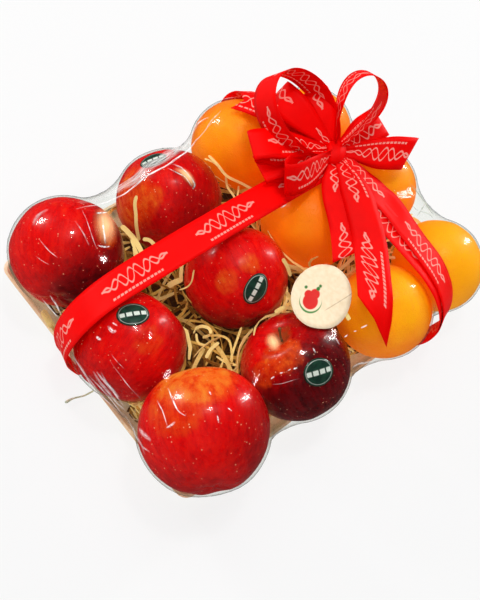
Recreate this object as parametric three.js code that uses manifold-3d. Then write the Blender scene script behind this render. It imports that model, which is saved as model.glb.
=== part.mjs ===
// Fruit gift tray: apples and oranges on shredded wood straw in a shallow card tray, sealed in
// clear shrink film and tied both ways with satin ribbon that ends in a bow.
// Millimetres, +Z up, X along the tray. The origin is the middle of the tray's underside.
import * as THREE from 'three';
import { mergeVertices } from 'three/addons/utils/BufferGeometryUtils.js';
import Module from 'manifold-3d';

const wasm = await Module();
wasm.setup();

// Tray: half sizes at the foot, and how far the walls lean out on the way up
const TRAY_HALF_X = 148.5;
const TRAY_HALF_Y = 102;
const TRAY_LEAN = 4.5;
const TRAY_HEIGHT = 14;
const TRAY_WALL = 2;
const TRAY_FLOOR = 4.4;
const TRAY_CORNER = 9;

// Ribbon and the two channels under the tray that it runs through
const RIBBON_WIDTH = 24;
const RIBBON_THICK = 0.7;
const BAND_X_CENTRE_Y = 21;
const BAND_Y_CENTRE_X = 73;
const CHANNEL_WIDTH = RIBBON_WIDTH + 3;
const CHANNEL_X_DEPTH = 2.4;
const CHANNEL_Y_DEPTH = 3;

const BAND_GAP = 1;
const LOOP_STEPS = 10;
const LOOP_PINCH = 0.3;
const TAIL_STEP = 13;
const TAIL_GAP = 0.8;
const TAIL_PINCH = 0.35;
const TAIL_ROUNDS = 60;
const TAIL_SAG = 0.1;
const SIDE_TAIL_STEPS = 14;
const SIDE_TAIL_RISE = 5;
const WRAP_MIDDLE = 40;

// Film
const FILM_THICK = 0.7;
const FILM_OFF = 1.1;
const FILM_CORNER = 5;
const FILM_FOOT = 3.2;
const FILM_TOP = 92;
const FILM_BOX_X = 165;
const FILM_BOX_Y = 118;
const FILM_CELLS = [24, 17, 6];
const FILM_STEPS = 400;
const FILM_SAG_SHARE = 1.7;
const FILM_DIP_SHARE = 0.94;

// Straw bed
const BED_FOOT = TRAY_FLOOR + 0.3;
const BED_HEIGHT = 30;
const BED_CELL = 17;
const STRAW_GAP = 1.5;
const STRAW_TOP = 74;
const STRAW_COUNT = 18;

// Fruit: radius, centre, and the way the stem end points
const APPLES = [
  { r: 39.3, at: [-121.4, 73.7, 49.0], stem: [0.7, 0.7, 0.1] },
  { r: 38.8, at: [-32.6, 71.1, 47.8], stem: [0.45, 0.88, 0.15] },
  { r: 38.7, at: [-127.1, -4.8, 46.3], stem: [0.9, 0.3, 0.2] },
  { r: 37.8, at: [-32.0, -6.1, 48.9], stem: [0.2, 0.95, 0.1] },
  { r: 42.4, at: [-128.8, -82.9, 60.4], stem: [0.45, 0.8, 0.05] },
  { r: 38.4, at: [-41.9, -82.4, 48.9], stem: [-0.22, 0.66, 0.72] },
];
const ORANGES = [
  { r: 35.7, at: [46.4, 85.3, 47.5], stem: [0.50, 0.80, 0.33] },
  { r: 35.8, at: [45.8, 0.8, 48.1], stem: [0.90, 0.10, 0.42] },
  { r: 35.4, at: [43.0, -86.8, 49.9], stem: [0.60, 0.77, 0.21] },
  { r: 33.5, at: [114.5, 70, 42], stem: [0.70, 0.60, 0.38] },
  { r: 35.6, at: [117.8, -1.3, 44.4], stem: [0.95, 0.20, 0.24] },
  { r: 35.7, at: [114.2, -81.8, 43.3], stem: [0.80, -0.30, 0.52] },
];
const APPLE_SIDES = 16;
const APPLE_ROWS = 12;
const ORANGE_SIDES = 14;
const ORANGE_ROWS = 9;
const STALK_LENGTH = 12;
const STALK_RADIUS = 1.2;

const palette = {
  apple: { color: 0x9c0f12, roughness: 0.32 },
  orange: { color: 0xf98a05, roughness: 0.5 },
  card: { color: 0xe9d3b4, roughness: 0.8 },
  straw: { color: 0xd8b878, roughness: 0.85 },
  film: { color: 0xf2f4f2, roughness: 0.08, transparent: true, opacity: 0.3 },
  ribbon: { color: 0xe60606, roughness: 0.4 },
  label: { color: 0xfbe3c0, roughness: 0.6 },
  sticker: { color: 0x1f4a35, roughness: 0.4 },
  leaf: { color: 0x2e6b1f, roughness: 0.5 },
};

const materials = Object.fromEntries(
  Object.entries(palette).map(([name, look]) => [
    name,
    new THREE.MeshStandardMaterial({ metalness: 0, side: THREE.DoubleSide, ...look }),
  ]),
);
const basket = new THREE.Group();

function place(name, geometry, material) {
  const mesh = new THREE.Mesh(geometry, materials[material]);
  mesh.name = name;
  basket.add(mesh);
  return mesh;
}

const V = (x, y, z) => new THREE.Vector3(x, y, z);

function geometryOf(points, triangles) {
  const geometry = new THREE.BufferGeometry();
  geometry.setAttribute('position', new THREE.Float32BufferAttribute(points, 3));
  geometry.setIndex(triangles);
  return geometry;
}

// Closed solid through rings of equal length: ring to ring, with a flat fan over each end
function loft(rings) {
  const n = rings[0].length;
  const points = rings.flat().flatMap((p) => [p.x, p.y, p.z]);
  const triangles = [];
  for (let k = 0; k + 1 < rings.length; k++) {
    for (let i = 0; i < n; i++) {
      const a = k * n + i;
      const b = k * n + ((i + 1) % n);
      triangles.push(a, b, b + n, a, b + n, a + n);
    }
  }
  const last = (rings.length - 1) * n;
  for (let i = 1; i + 1 < n; i++) {
    triangles.push(0, i + 1, i, last, last + i, last + i + 1);
  }
  return geometryOf(points, triangles);
}

function weld(geometry) {
  const bare = geometry.clone();
  for (const name of Object.keys(bare.attributes)) {
    if (name !== 'position') bare.deleteAttribute(name);
  }
  return mergeVertices(bare, 1e-4);
}

function solidOf(geometry) {
  const bare = weld(geometry);
  return new wasm.Manifold(
    new wasm.Mesh({
      numProp: 3,
      vertProperties: new Float32Array(bare.attributes.position.array),
      triVerts: new Uint32Array(bare.index.array),
    }),
  );
}

function geometryFrom(solid) {
  const mesh = solid.getMesh();
  return geometryOf(Array.from(mesh.vertProperties), Array.from(mesh.triVerts));
}

// Tray: walls and floor in one pressed shape, with a cross of channels under the floor
function roundedOutline(halfX, halfY, corner, z) {
  const ring = [];
  const turns = 5;
  for (let quarter = 0; quarter < 4; quarter++) {
    const cx = (quarter === 0 || quarter === 3 ? 1 : -1) * (halfX - corner);
    const cy = (quarter < 2 ? 1 : -1) * (halfY - corner);
    for (let i = 0; i <= turns; i++) {
      const a = (quarter + i / turns) * (Math.PI / 2);
      ring.push(V(cx + corner * Math.cos(a), cy + corner * Math.sin(a), z));
    }
  }
  return ring;
}

function trayHalf(z) {
  const out = TRAY_LEAN * Math.min(z / TRAY_HEIGHT, 1);
  return [TRAY_HALF_X + out, TRAY_HALF_Y + out];
}

function trayRing(z, inset) {
  const [hx, hy] = trayHalf(z);
  return roundedOutline(hx - inset, hy - inset, TRAY_CORNER - inset / 2, z);
}

function makeTray() {
  const shell = loft([
    trayRing(0, 0),
    trayRing(TRAY_HEIGHT, 0),
    trayRing(TRAY_HEIGHT, TRAY_WALL),
    trayRing(TRAY_FLOOR, TRAY_WALL),
  ]);
  const along = new THREE.BoxGeometry(3 * TRAY_HALF_X, CHANNEL_WIDTH, 2 * CHANNEL_X_DEPTH);
  along.translate(0, BAND_X_CENTRE_Y, 0);
  const across = new THREE.BoxGeometry(CHANNEL_WIDTH, 3 * TRAY_HALF_Y, 2 * CHANNEL_Y_DEPTH);
  across.translate(BAND_Y_CENTRE_X, 0, 0);
  return geometryFrom(solidOf(shell).subtract(solidOf(along)).subtract(solidOf(across)));
}

place('tray', makeTray(), 'card');

// Fruit: one radius for each angle from the stem end, in shares of the widest radius
function appleShare(angle) {
  const stemDip = 0.34 * Math.exp(-((angle / 0.36) ** 2));
  const eyeDip = 0.13 * Math.exp(-(((Math.PI - angle) / 0.32) ** 2));
  const taper = 0.05 * Math.max(0, -Math.cos(angle)) * Math.sin(angle);
  return 1 - stemDip - eyeDip - taper;
}

function orangeShare(angle) {
  return 1 - 0.03 * Math.cos(angle) ** 2 - 0.02 * Math.exp(-((angle / 0.2) ** 2));
}

function fruitBody(radius, share, sides, rows) {
  const profile = [];
  for (let i = 0; i <= rows; i++) {
    const angle = (Math.PI * i) / rows;
    const reach = radius * share(angle);
    const out = i === 0 || i === rows ? 0 : reach * Math.sin(angle);
    profile.unshift(new THREE.Vector2(out, reach * Math.cos(angle)));
  }
  return weld(new THREE.LatheGeometry(profile, sides)).rotateX(Math.PI / 2);
}

function withLobes(geometry, count, depth) {
  const p = geometry.attributes.position;
  for (let i = 0; i < p.count; i++) {
    const level = p.getZ(i);
    const turn = Math.atan2(p.getY(i), p.getX(i));
    const far = Math.hypot(p.getX(i), p.getY(i), level);
    const low = Math.max(0, -level / far);
    const squeeze = 1 - depth * low * (1 - Math.cos(count * turn));
    p.setXYZ(i, p.getX(i) * squeeze, p.getY(i) * squeeze, level * squeeze);
  }
  return geometry;
}

function makeApple(radius) {
  const body = withLobes(fruitBody(radius, appleShare, APPLE_SIDES, APPLE_ROWS), 5, 0.012);
  const foot = radius * appleShare(0) - 2;
  const stalkLine = new THREE.CatmullRomCurve3([
    V(0, 0, foot),
    V(0.6, 0, foot + STALK_LENGTH / 2),
    V(3, 0, foot + STALK_LENGTH),
  ]);
  const section = new THREE.Shape(new THREE.EllipseCurve(0, 0, STALK_RADIUS, STALK_RADIUS).getPoints(6));
  const stalk = new THREE.ExtrudeGeometry(section, { steps: 4, extrudePath: stalkLine });
  return geometryFrom(solidOf(body).add(solidOf(stalk)));
}

const fruits = [];
const up = V(0, 0, 1);

function setFruit(name, spec, geometry, share, material) {
  const mesh = place(name, geometry, material);
  const stem = V(...spec.stem).normalize();
  mesh.position.set(...spec.at);
  mesh.quaternion.setFromUnitVectors(up, stem);
  fruits.push({ centre: V(...spec.at), stem, radius: spec.r, share });
}

APPLES.forEach((spec, i) => {
  setFruit(`apple_${i + 1}`, spec, makeApple(spec.r), appleShare, 'apple');
});
ORANGES.forEach((spec, i) => {
  const body = solidOf(fruitBody(spec.r, orangeShare, ORANGE_SIDES, ORANGE_ROWS));
  setFruit(`orange_${i + 1}`, spec, geometryFrom(body), orangeShare, 'orange');
});

// The fruit's surface reach in a direction, and how far a point lies outside it
function reachOf(fruit, direction) {
  const angle = Math.acos(THREE.MathUtils.clamp(direction.dot(fruit.stem), -1, 1));
  return fruit.radius * fruit.share(angle);
}

function clearanceOf(fruit, point) {
  const away = point.clone().sub(fruit.centre);
  const distance = away.length();
  return distance - reachOf(fruit, away.divideScalar(distance));
}

// Film: a sheet over the open box round the heap, pulled tight and held off the fruit and tray
function sheetOverBox() {
  const [nx, ny, nz] = FILM_CELLS;
  const box = new THREE.BoxGeometry(2 * FILM_BOX_X, 2 * FILM_BOX_Y, nz, nx, ny, nz);
  box.translate(0, 0, nz / 2);
  const under = box.groups[5];
  const end = under.start + under.count;
  const kept = Array.from(box.index.array).filter((_, i) => i < under.start || i >= end);
  box.clearGroups();
  box.setIndex(kept);
  return weld(box);
}

// A flat facet of that width sinks this far below a ball of that radius
function sag(width, radius) {
  return width ** 2 / (8 * radius);
}

function keepOffFruit(point, facet) {
  for (const fruit of fruits) {
    const away = point.clone().sub(fruit.centre);
    const off = FILM_OFF + FILM_SAG_SHARE * sag(facet, fruit.radius);
    if (away.lengthSq() > (fruit.radius + off) ** 2) continue;
    away.normalize();
    const reach = fruit.radius * Math.max(fruit.share(Math.acos(away.dot(fruit.stem))), FILM_DIP_SHARE);
    const least = reach + off;
    if (point.distanceTo(fruit.centre) < least) {
      point.copy(fruit.centre).addScaledVector(away, least);
    }
  }
}

// Point of the film's box moved in to an outline with small round corners
function ontoOutline(point, halfX, halfY, level) {
  const x = point.x * (halfX / FILM_BOX_X);
  const y = point.y * (halfY / FILM_BOX_Y);
  const innerX = THREE.MathUtils.clamp(x, FILM_CORNER - halfX, halfX - FILM_CORNER);
  const innerY = THREE.MathUtils.clamp(y, FILM_CORNER - halfY, halfY - FILM_CORNER);
  const away = V(x - innerX, y - innerY, 0).setLength(FILM_CORNER);
  point.set(innerX + away.x, innerY + away.y, level);
}

function edgesOf(triangles) {
  const uses = new Map();
  for (let t = 0; t < triangles.length; t += 3) {
    for (let k = 0; k < 3; k++) {
      const a = triangles[t + k];
      const b = triangles[t + ((k + 1) % 3)];
      const key = a < b ? `${a} ${b}` : `${b} ${a}`;
      const seen = uses.get(key) || { ends: [a, b], count: 0 };
      seen.count += 1;
      uses.set(key, seen);
    }
  }
  return [...uses.values()];
}

function pullTight(sheet) {
  const triangles = Array.from(sheet.index.array);
  const positions = sheet.attributes.position;
  const points = Array.from({ length: positions.count }, (_, i) => V().fromBufferAttribute(positions, i));
  const near = points.map(() => []);
  for (const { ends: [a, b] } of edgesOf(triangles)) {
    near[a].push(b);
    near[b].push(a);
  }
  const levels = [FILM_FOOT, TRAY_HEIGHT + FILM_OFF];
  const fixed = points.map((p) => p.z < levels.length - 0.5);
  points.forEach((p, i) => {
    if (fixed[i]) {
      const level = levels[Math.round(p.z)];
      const [hx, hy] = trayHalf(level).map((half) => half + FILM_OFF);
      ontoOutline(p, hx, hy, level);
    } else {
      p.z = FILM_FOOT + (p.z / FILM_CELLS[2]) * (FILM_TOP - FILM_FOOT);
    }
  });
  for (let step = 0; step < FILM_STEPS; step++) {
    const last = points.map((p) => p.clone());
    points.forEach((p, i) => {
      if (fixed[i]) return;
      const mean = V();
      for (const j of near[i]) mean.add(last[j]);
      const facet = Math.max(...near[i].map((j) => last[j].distanceTo(last[i])));
      p.copy(mean.divideScalar(near[i].length));
      keepOffFruit(p, facet);
    });
  }
  const flat = points.flatMap((p) => [p.x, p.y, p.z]);
  return geometryOf(flat, triangles);
}

// Closed shell: the sheet, the same sheet moved out along its normals, and a strip round the rim
function thicken(sheet, thickness) {
  sheet.computeVertexNormals();
  const p = sheet.attributes.position;
  const n = sheet.attributes.normal;
  const triangles = Array.from(sheet.index.array);
  const points = Array.from(p.array);
  for (let i = 0; i < p.count; i++) {
    const out = V().fromBufferAttribute(n, i);
    if (p.getZ(i) < FILM_FOOT + 0.01) out.setZ(0).normalize();
    points.push(
      p.getX(i) + out.x * thickness,
      p.getY(i) + out.y * thickness,
      p.getZ(i) + out.z * thickness,
    );
  }
  const all = [];
  for (let t = 0; t < triangles.length; t += 3) {
    const [a, b, c] = triangles.slice(t, t + 3);
    all.push(a + p.count, b + p.count, c + p.count, a, c, b);
  }
  for (const { ends: [a, b], count } of edgesOf(triangles)) {
    if (count === 1) all.push(a, b, b + p.count, a, b + p.count, a + p.count);
  }
  return geometryOf(points, all);
}

const filmSheet = pullTight(sheetOverBox());
const film = place('film', thicken(filmSheet, FILM_THICK), 'film');

// Ribbon bands: each runs round the pack as a taut loop, the outer skin of what it crosses
function cutPoints(bodies, axis, at) {
  const other = axis === 'x' ? 'y' : 'x';
  const found = [];
  for (const { geometry } of bodies) {
    const p = geometry.attributes.position;
    const index = geometry.index.array;
    for (let t = 0; t < index.length; t += 3) {
      for (let k = 0; k < 3; k++) {
        const a = V().fromBufferAttribute(p, index[t + k]);
        const b = V().fromBufferAttribute(p, index[t + ((k + 1) % 3)]);
        if ((a[axis] - at) * (b[axis] - at) > 0) continue;
        a.lerp(b, (at - a[axis]) / (b[axis] - a[axis] || 1));
        found.push([a[other], a.z]);
      }
    }
  }
  return found;
}

function hullOf(points) {
  const sorted = [...points].sort((a, b) => a[0] - b[0] || a[1] - b[1]);
  const half = (list) => {
    const chain = [];
    for (const p of list) {
      while (chain.length > 1) {
        const [a, b] = chain.slice(-2);
        if ((b[0] - a[0]) * (p[1] - a[1]) - (b[1] - a[1]) * (p[0] - a[0]) > 0) break;
        chain.pop();
      }
      chain.push(p);
    }
    return chain.slice(0, -1);
  };
  return [...half(sorted), ...half(sorted.reverse())];
}

// Hull of the points, moved out by a gap
function skinOf(points, gap) {
  const core = hullOf(points);
  const turns = 16;
  const wide = core.flatMap(([u, z]) =>
    Array.from({ length: turns }, (_, i) => {
      const a = (2 * Math.PI * i) / turns;
      return [u + gap * Math.cos(a), z + gap * Math.sin(a)];
    }),
  );
  return hullOf(wide);
}

// Where a ray from the middle of the section leaves the polygon
function leavePoint(polygon, [du, dz]) {
  for (let i = 0; i < polygon.length; i++) {
    const [au, az] = polygon[i];
    const [bu, bz] = polygon[(i + 1) % polygon.length];
    const eu = bu - au;
    const ez = bz - az;
    const cross = du * ez - dz * eu;
    if (Math.abs(cross) < 1e-9) continue;
    const far = (au * ez - (az - WRAP_MIDDLE) * eu) / cross;
    const along = (au * dz - (az - WRAP_MIDDLE) * du) / cross;
    if (far > 0 && along >= 0 && along <= 1) return [far * du, WRAP_MIDDLE + far * dz];
  }
  return [0, 0];
}

function wrapDirections(half, floor) {
  const foot = [[-2.5, floor - 1], [1.5, floor - 0.9], [3, floor - 0.3], [4, floor + 1.2]];
  const side = [...foot, [6, 14], [8, 26], [8, 38], [8, 50], [7, 61], [3, 71], [-5, 79]];
  const right = side.map(([out, z]) => [half + out, z]);
  const inner = half - 16;
  const count = Math.round((2 * inner) / 22);
  const top = Array.from({ length: count + 1 }, (_, i) => [inner - (2 * inner * i) / count, 85]);
  const left = right.map(([u, z]) => [-u, z]).reverse();
  return [...right, ...top, ...left].map(([u, z]) => [u, z - WRAP_MIDDLE]);
}

function inSection(axis, at, [u, z]) {
  return axis === 'x' ? V(at, u, z) : V(u, at, z);
}

function slabPoints(bodies, axis, at) {
  return [-6, -3, 0, 3, 6].flatMap((shift) => cutPoints(bodies, axis, at + shift));
}

function wrapBand(axis, centre, half, floor, bodies) {
  const under = [[-half, floor], [half, floor]];
  const stations = [-RIBBON_WIDTH / 2, 0, RIBBON_WIDTH / 2];
  const skins = stations.map((shift) => {
    const round = slabPoints(bodies, axis, centre + shift);
    const points = [...round, ...under].filter(([, z]) => z > floor - 0.01);
    return [skinOf(points, BAND_GAP), skinOf(points, BAND_GAP + RIBBON_THICK)];
  });
  const rings = wrapDirections(half, floor).map((direction) => [
    ...stations.map((shift, k) => inSection(axis, centre + shift, leavePoint(skins[k][0], direction))),
    ...stations
      .map((shift, k) => inSection(axis, centre + shift, leavePoint(skins[k][1], direction)))
      .reverse(),
  ]);
  return closedLoft(axis === 'x' ? rings : rings.reverse());
}

// Rings joined end to end into a closed hoop
function closedLoft(rings) {
  const n = rings[0].length;
  const points = rings.flat().flatMap((p) => [p.x, p.y, p.z]);
  const triangles = [];
  for (let k = 0; k < rings.length; k++) {
    const next = (k + 1) % rings.length;
    for (let i = 0; i < n; i++) {
      const j = (i + 1) % n;
      triangles.push(k * n + i, k * n + j, next * n + j, k * n + i, next * n + j, next * n + i);
    }
  }
  return geometryOf(points, triangles);
}

// The band across lies on the one along, over the top and under the tray's floor
const alongShape = wrapBand('y', BAND_X_CENTRE_Y, TRAY_HALF_X, BAND_GAP + 1, [film]);
const bandAlong = place('band_along', alongShape, 'ribbon');
const acrossShape = wrapBand('x', BAND_Y_CENTRE_X, TRAY_HALF_Y, BAND_GAP + 2, [film, bandAlong]);
const bandAcross = place('band_across', acrossShape, 'ribbon');

// Bow: nine loops and four tails out of one knot on the crossing of the bands
const KNOT = V(75, 23, 94);

// Half the ribbon's width where it widens from its pinch in the knot
function halfWidth(pinch, share) {
  return (RIBBON_WIDTH / 2) * THREE.MathUtils.lerp(pinch, 1, THREE.MathUtils.smoothstep(share, 0, 1));
}

// The loop leaves the knot, turns at its far end and comes back; "across" is the ribbon's width way.
// A fullness of 1 is a slim teardrop and 2 a round hoop.
function makeLoop({ reach, across, girth, slant = 0, fullness = 1 }) {
  const way = V(...reach);
  const length = way.length();
  way.normalize();
  const wide = V(...across).addScaledVector(way, -way.dot(V(...across))).normalize();
  const off = wide.clone().cross(way);
  const line = (t, shift) => {
    const sweep = Math.sin(Math.PI * t);
    const far = sweep ** fullness;
    const half = halfWidth(LOOP_PINCH, sweep / 0.75);
    return KNOT.clone()
      .addScaledVector(way, far * (length + slant * shift))
      .addScaledVector(off, (-girth / 2) * Math.sin(2 * Math.PI * t))
      .addScaledVector(wide, half * shift);
  };
  const rings = [];
  for (let i = 0; i <= LOOP_STEPS; i++) {
    const t = THREE.MathUtils.lerp(0.03, 0.97, i / LOOP_STEPS);
    const left = line(t, -1);
    const right = line(t, 1);
    const ahead = line(t + 0.01, 0).sub(line(t - 0.01, 0));
    const out = right.clone().sub(left).cross(ahead).setLength(RIBBON_THICK / 2);
    rings.push([
      left.clone().add(out),
      right.clone().add(out),
      right.clone().sub(out),
      left.clone().sub(out),
    ]);
  }
  return loft(rings);
}

const GROUND_PROBES = [[0, 0], [4, 0], [-4, 0], [0, 4], [0, -4], [3, 3], [3, -3], [-3, 3], [-3, -3]];
const caster = new THREE.Raycaster();

// Highest surface under a small patch round a point
function groundAt(x, y, bodies) {
  let level = 0;
  for (const [dx, dy] of GROUND_PROBES) {
    caster.set(V(x + dx, y + dy, 300), V(0, 0, -1));
    for (const hit of caster.intersectObjects(bodies)) level = Math.max(level, hit.point.z);
  }
  return level;
}

// Tail: runs along a plan line, hangs taut over the hollows and lies on what is below it
function makeTail({ line, lengths, lift = 0 }) {
  const curve = new THREE.CatmullRomCurve3([KNOT.clone().setZ(0), ...line.map(([x, y]) => V(x, y, 0))]);
  const steps = Math.round(curve.getLength() / TAIL_STEP);
  const rows = [];
  for (let i = 0; i <= steps; i++) {
    const half = halfWidth(TAIL_PINCH, i / steps / 0.3);
    rows.push(
      [-1, 0, 1].map((shift) => {
        const share = (i / steps) * THREE.MathUtils.lerp(lengths[0], lengths[1], (shift + 1) / 2);
        const p = curve.getPointAt(share);
        const t = curve.getTangentAt(share);
        p.add(V(t.y, -t.x, 0).multiplyScalar(half * shift));
        p.z = groundAt(p.x, p.y, [film, bandAlong, bandAcross]) + TAIL_GAP + lift;
        return p;
      }),
    );
  }
  for (const p of rows[0]) p.z = KNOT.z - 1.3 + lift;
  const least = rows.map((row) => row.map((p) => p.z));
  for (let round = 0; round < TAIL_ROUNDS; round++) {
    for (let i = 1; i < steps; i++) {
      rows[i].forEach((p, k) => {
        p.z = Math.max(least[i][k], (rows[i - 1][k].z + rows[i + 1][k].z) / 2 - TAIL_SAG);
      });
    }
  }
  return loft(rows.map((row) => [
    ...row.map((p) => p.clone().setZ(p.z + RIBBON_THICK)),
    ...[...row].reverse(),
  ]));
}

// The long tail goes over the near edge and down the side on top of the band that crosses the tray
function makeSideTail({ stations, foot }) {
  const rows = [];
  const bodies = [film, bandAlong, bandAcross];
  const start = Math.atan2(KNOT.z - WRAP_MIDDLE, KNOT.y);
  const end = Math.atan2(foot[1] - WRAP_MIDDLE, foot[0]) + 2 * Math.PI;
  const steps = SIDE_TAIL_STEPS;
  for (let i = 0; i <= steps; i++) {
    const share = i / steps;
    const angle = THREE.MathUtils.lerp(start, end, share ** 0.8);
    const x = stations.getPointAt(share).x;
    const half = halfWidth(TAIL_PINCH, share / 0.25);
    const direction = [Math.cos(angle), Math.sin(angle)];
    const rise = SIDE_TAIL_RISE * (1 - THREE.MathUtils.smoothstep(share, 0, 0.3));
    const reach = (shift, gap) => {
      const at = x - half * shift;
      return inSection('x', at, leavePoint(skinOf(slabPoints(bodies, 'x', at), gap), direction));
    };
    rows.push([
      ...[-1, 0, 1].map((shift) => reach(shift, TAIL_GAP + rise + RIBBON_THICK)),
      ...[1, 0, -1].map((shift) => reach(shift, TAIL_GAP + rise)),
    ]);
  }
  return loft(rows);
}

const LOOPS = [
  { reach: [36, 18, 45], across: [-0.56, -0.62, 0.56], girth: 29 },
  { reach: [49.7, -32.9, 1.4], across: [-0.55, -0.676, -0.49], girth: 9, slant: -7 },
  { reach: [43, -2, 10], across: [-0.29, -0.87, -0.4], girth: 8 },
  { reach: [-33.4, 54.3, 37.9], across: [0.17, -0.66, 0.73], girth: 51, fullness: 1.7 },
  { reach: [-15, 56, 13], across: [0.86, 0.08, 0.5], girth: 18 },
  { reach: [8, 43, 16], across: [0.86, -0.3, 0.4], girth: 14 },
  { reach: [-62.7, 29.3, 13], across: [0.55, 0.8, 0.05], girth: 11 },
  { reach: [-60, 17, -2], across: [0.4, 0.9, 0], girth: 5 },
  { reach: [-58, -5, 11], across: [-0.37, 0.39, 0.84], girth: 14 },
];
const TAILS = [
  { line: [[66, 9], [53, -6], [44, -22], [35, -36], [19, -56]], lengths: [0.8, 0.95] },
  { line: [[70, -3], [58, -28], [45, -50], [25, -75], [2, -104]], lengths: [1, 0.8], lift: 1.2 },
  { line: [[74, 45], [68, 64], [58, 83], [47, 102]], lengths: [1, 0.99], lift: 0.5 },
];
const knot = weld(new THREE.SphereGeometry(1, 12, 8)).scale(12, 8, 5.5);
knot.rotateZ(0.6).translate(KNOT.x, KNOT.y, KNOT.z);
const sideTail = makeSideTail({
  stations: new THREE.CatmullRomCurve3([77, 84, 86, 83, 77, 73, 72, 72].map((x) => V(x, 0, 0))),
  foot: [-112, 14],
});
const bow = [...LOOPS.map(makeLoop), ...TAILS.map(makeTail), sideTail]
  .map(solidOf)
  .reduce((all, one) => all.add(one), solidOf(knot));
place('bow', geometryFrom(bow.simplify(0.16)), 'ribbon');

// Thin patch over a unit disc: "at" gives the point for each place on the disc, level 0 or 1
function makePatch(sides, shares, at) {
  const points = [];
  for (const level of [0, 1]) {
    points.push(at(0, 0, level));
    for (const share of shares) {
      for (let i = 0; i < sides; i++) {
        const a = (2 * Math.PI * i) / sides;
        points.push(at(share * Math.cos(a), share * Math.sin(a), level));
      }
    }
  }
  const size = 1 + shares.length * sides;
  const triangles = [];
  const both = (a, b, c) => triangles.push(a + size, b + size, c + size, a, c, b);
  for (let i = 0; i < sides; i++) {
    const j = (i + 1) % sides;
    both(0, 1 + i, 1 + j);
    for (let k = 0; k + 1 < shares.length; k++) {
      const inner = 1 + k * sides;
      const outer = inner + sides;
      both(inner + i, outer + i, outer + j);
      both(inner + i, outer + j, inner + j);
    }
    const rim = 1 + (shares.length - 1) * sides;
    triangles.push(rim + i, rim + j, size + rim + j, rim + i, size + rim + j, size + rim + i);
  }
  return geometryOf(points.flatMap((p) => [p.x, p.y, p.z]), triangles);
}

// Round label on the film between the last apple and the last orange
const LABEL_AT = [-11.3, -59.5];
const LABEL_ACROSS = [20, -11.2];
const LABEL_DOWN = [-18, -18.5];
const LABEL_THICK = 0.5;
const label = makePatch(14, [0.5, 1], (u, v, level) => {
  const x = LABEL_AT[0] - u * LABEL_ACROSS[0] + v * LABEL_DOWN[0];
  const y = LABEL_AT[1] - u * LABEL_ACROSS[1] + v * LABEL_DOWN[1];
  return V(x, y, groundAt(x, y, [film]) + TAIL_GAP + level * LABEL_THICK);
});
place('label', label, 'label');

// Oval fruit stickers, each over a point on its apple, long way along "along"
const STICKERS = [
  { on: 3, over: [-0.273, -0.594, 0.756], along: [-0.518, -0.245, -0.392], half: [12, 8.5] },
  { on: 5, over: [-0.209, -0.443, 0.872], along: [0.95, -0.3, 0.05], half: [11, 9.5] },
  { on: 2, over: [0.002, 0.128, 0.992], along: [0.9, -0.43, 0.04], half: [11, 8.5] },
  { on: 1, over: [-0.176, 0.516, 0.838], along: [0.87, -0.3, 0.375], half: [10, 7] },
];
const STICKER_THICK = 0.35;
STICKERS.forEach(({ on, over, along, half }, i) => {
  const fruit = fruits[on];
  const out = V(...over).normalize();
  const long = V(...along).addScaledVector(out, -out.dot(V(...along))).normalize();
  const wide = out.clone().cross(long);
  const sticker = makePatch(10, [0.55, 1], (u, v, level) => {
    const way = out
      .clone()
      .addScaledVector(long, (u * half[0]) / fruit.radius)
      .addScaledVector(wide, (v * half[1]) / fruit.radius)
      .normalize();
    return fruit.centre.clone().addScaledVector(way, reachOf(fruit, way) + 0.3 + level * STICKER_THICK);
  });
  place(`sticker_${i + 1}`, sticker, 'sticker');
});

// Leaf by the third orange, inside the film
const leafWay = V(0.9, 0.22, 0.36).normalize();
const leafSide = V(-0.36, -0.3, 0.88).normalize();
const leafOut = leafWay.clone().cross(leafSide).normalize();
const leaf = makePatch(10, [0.5, 1], (u, v, level) =>
  V(65.5, -110.9, 30)
    .addScaledVector(leafWay, 7.5 * u)
    .addScaledVector(leafSide, 4 * v * (1 - 0.4 * u * u))
    .addScaledVector(leafOut, 0.4 * Math.sin(2.4 * u) + 0.4 * v * v + 0.5 * level),
);
place('leaf', leaf, 'leaf');

// Straw: strips this wide and thick
const STRAW_WIDTH = 2.4;
const STRAW_THICK = 0.9;

function makeStraw(curve, steps, width, side) {
  const rings = [];
  for (let i = 0; i <= steps; i++) {
    const at = curve.getPoint(i / steps);
    const ahead = curve.getTangent(i / steps);
    const wide = side.clone().addScaledVector(ahead, -ahead.dot(side)).setLength(width / 2);
    const thick = wide.clone().cross(ahead).setLength(STRAW_THICK / 2);
    rings.push([[1, 1], [1, -1], [-1, -1], [-1, 1]].map(([a, b]) =>
      at.clone().addScaledVector(wide, a).addScaledVector(thick, b),
    ));
  }
  return loft(rings);
}

// Loose stalk that sticks out under the film's foot at the left end
const stalkLine = new THREE.CatmullRomCurve3([
  V(-150.6, -5.4, 1.3),
  V(-158, -4.6, 1.3),
  V(-165, -2.2, 1.5),
  V(-171.5, -1.6, 1.9),
]);
place('loose_stalk', makeStraw(stalkLine, 5, STRAW_WIDTH, V(0, 1, 0)), 'straw');

// Straw bed: a low heap that cups the fruit, with strips that stand up into the gaps
let seed = 7;
function chance() {
  seed = (seed * 16807) % 2147483647;
  return seed / 2147483647;
}

function roomAt(x, y) {
  let room = BED_HEIGHT;
  for (const fruit of fruits) {
    const d = Math.hypot(x - fruit.centre.x, y - fruit.centre.y);
    if (d >= fruit.radius) continue;
    room = Math.min(room, fruit.centre.z - Math.sqrt(fruit.radius ** 2 - d ** 2));
  }
  return room;
}

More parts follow.
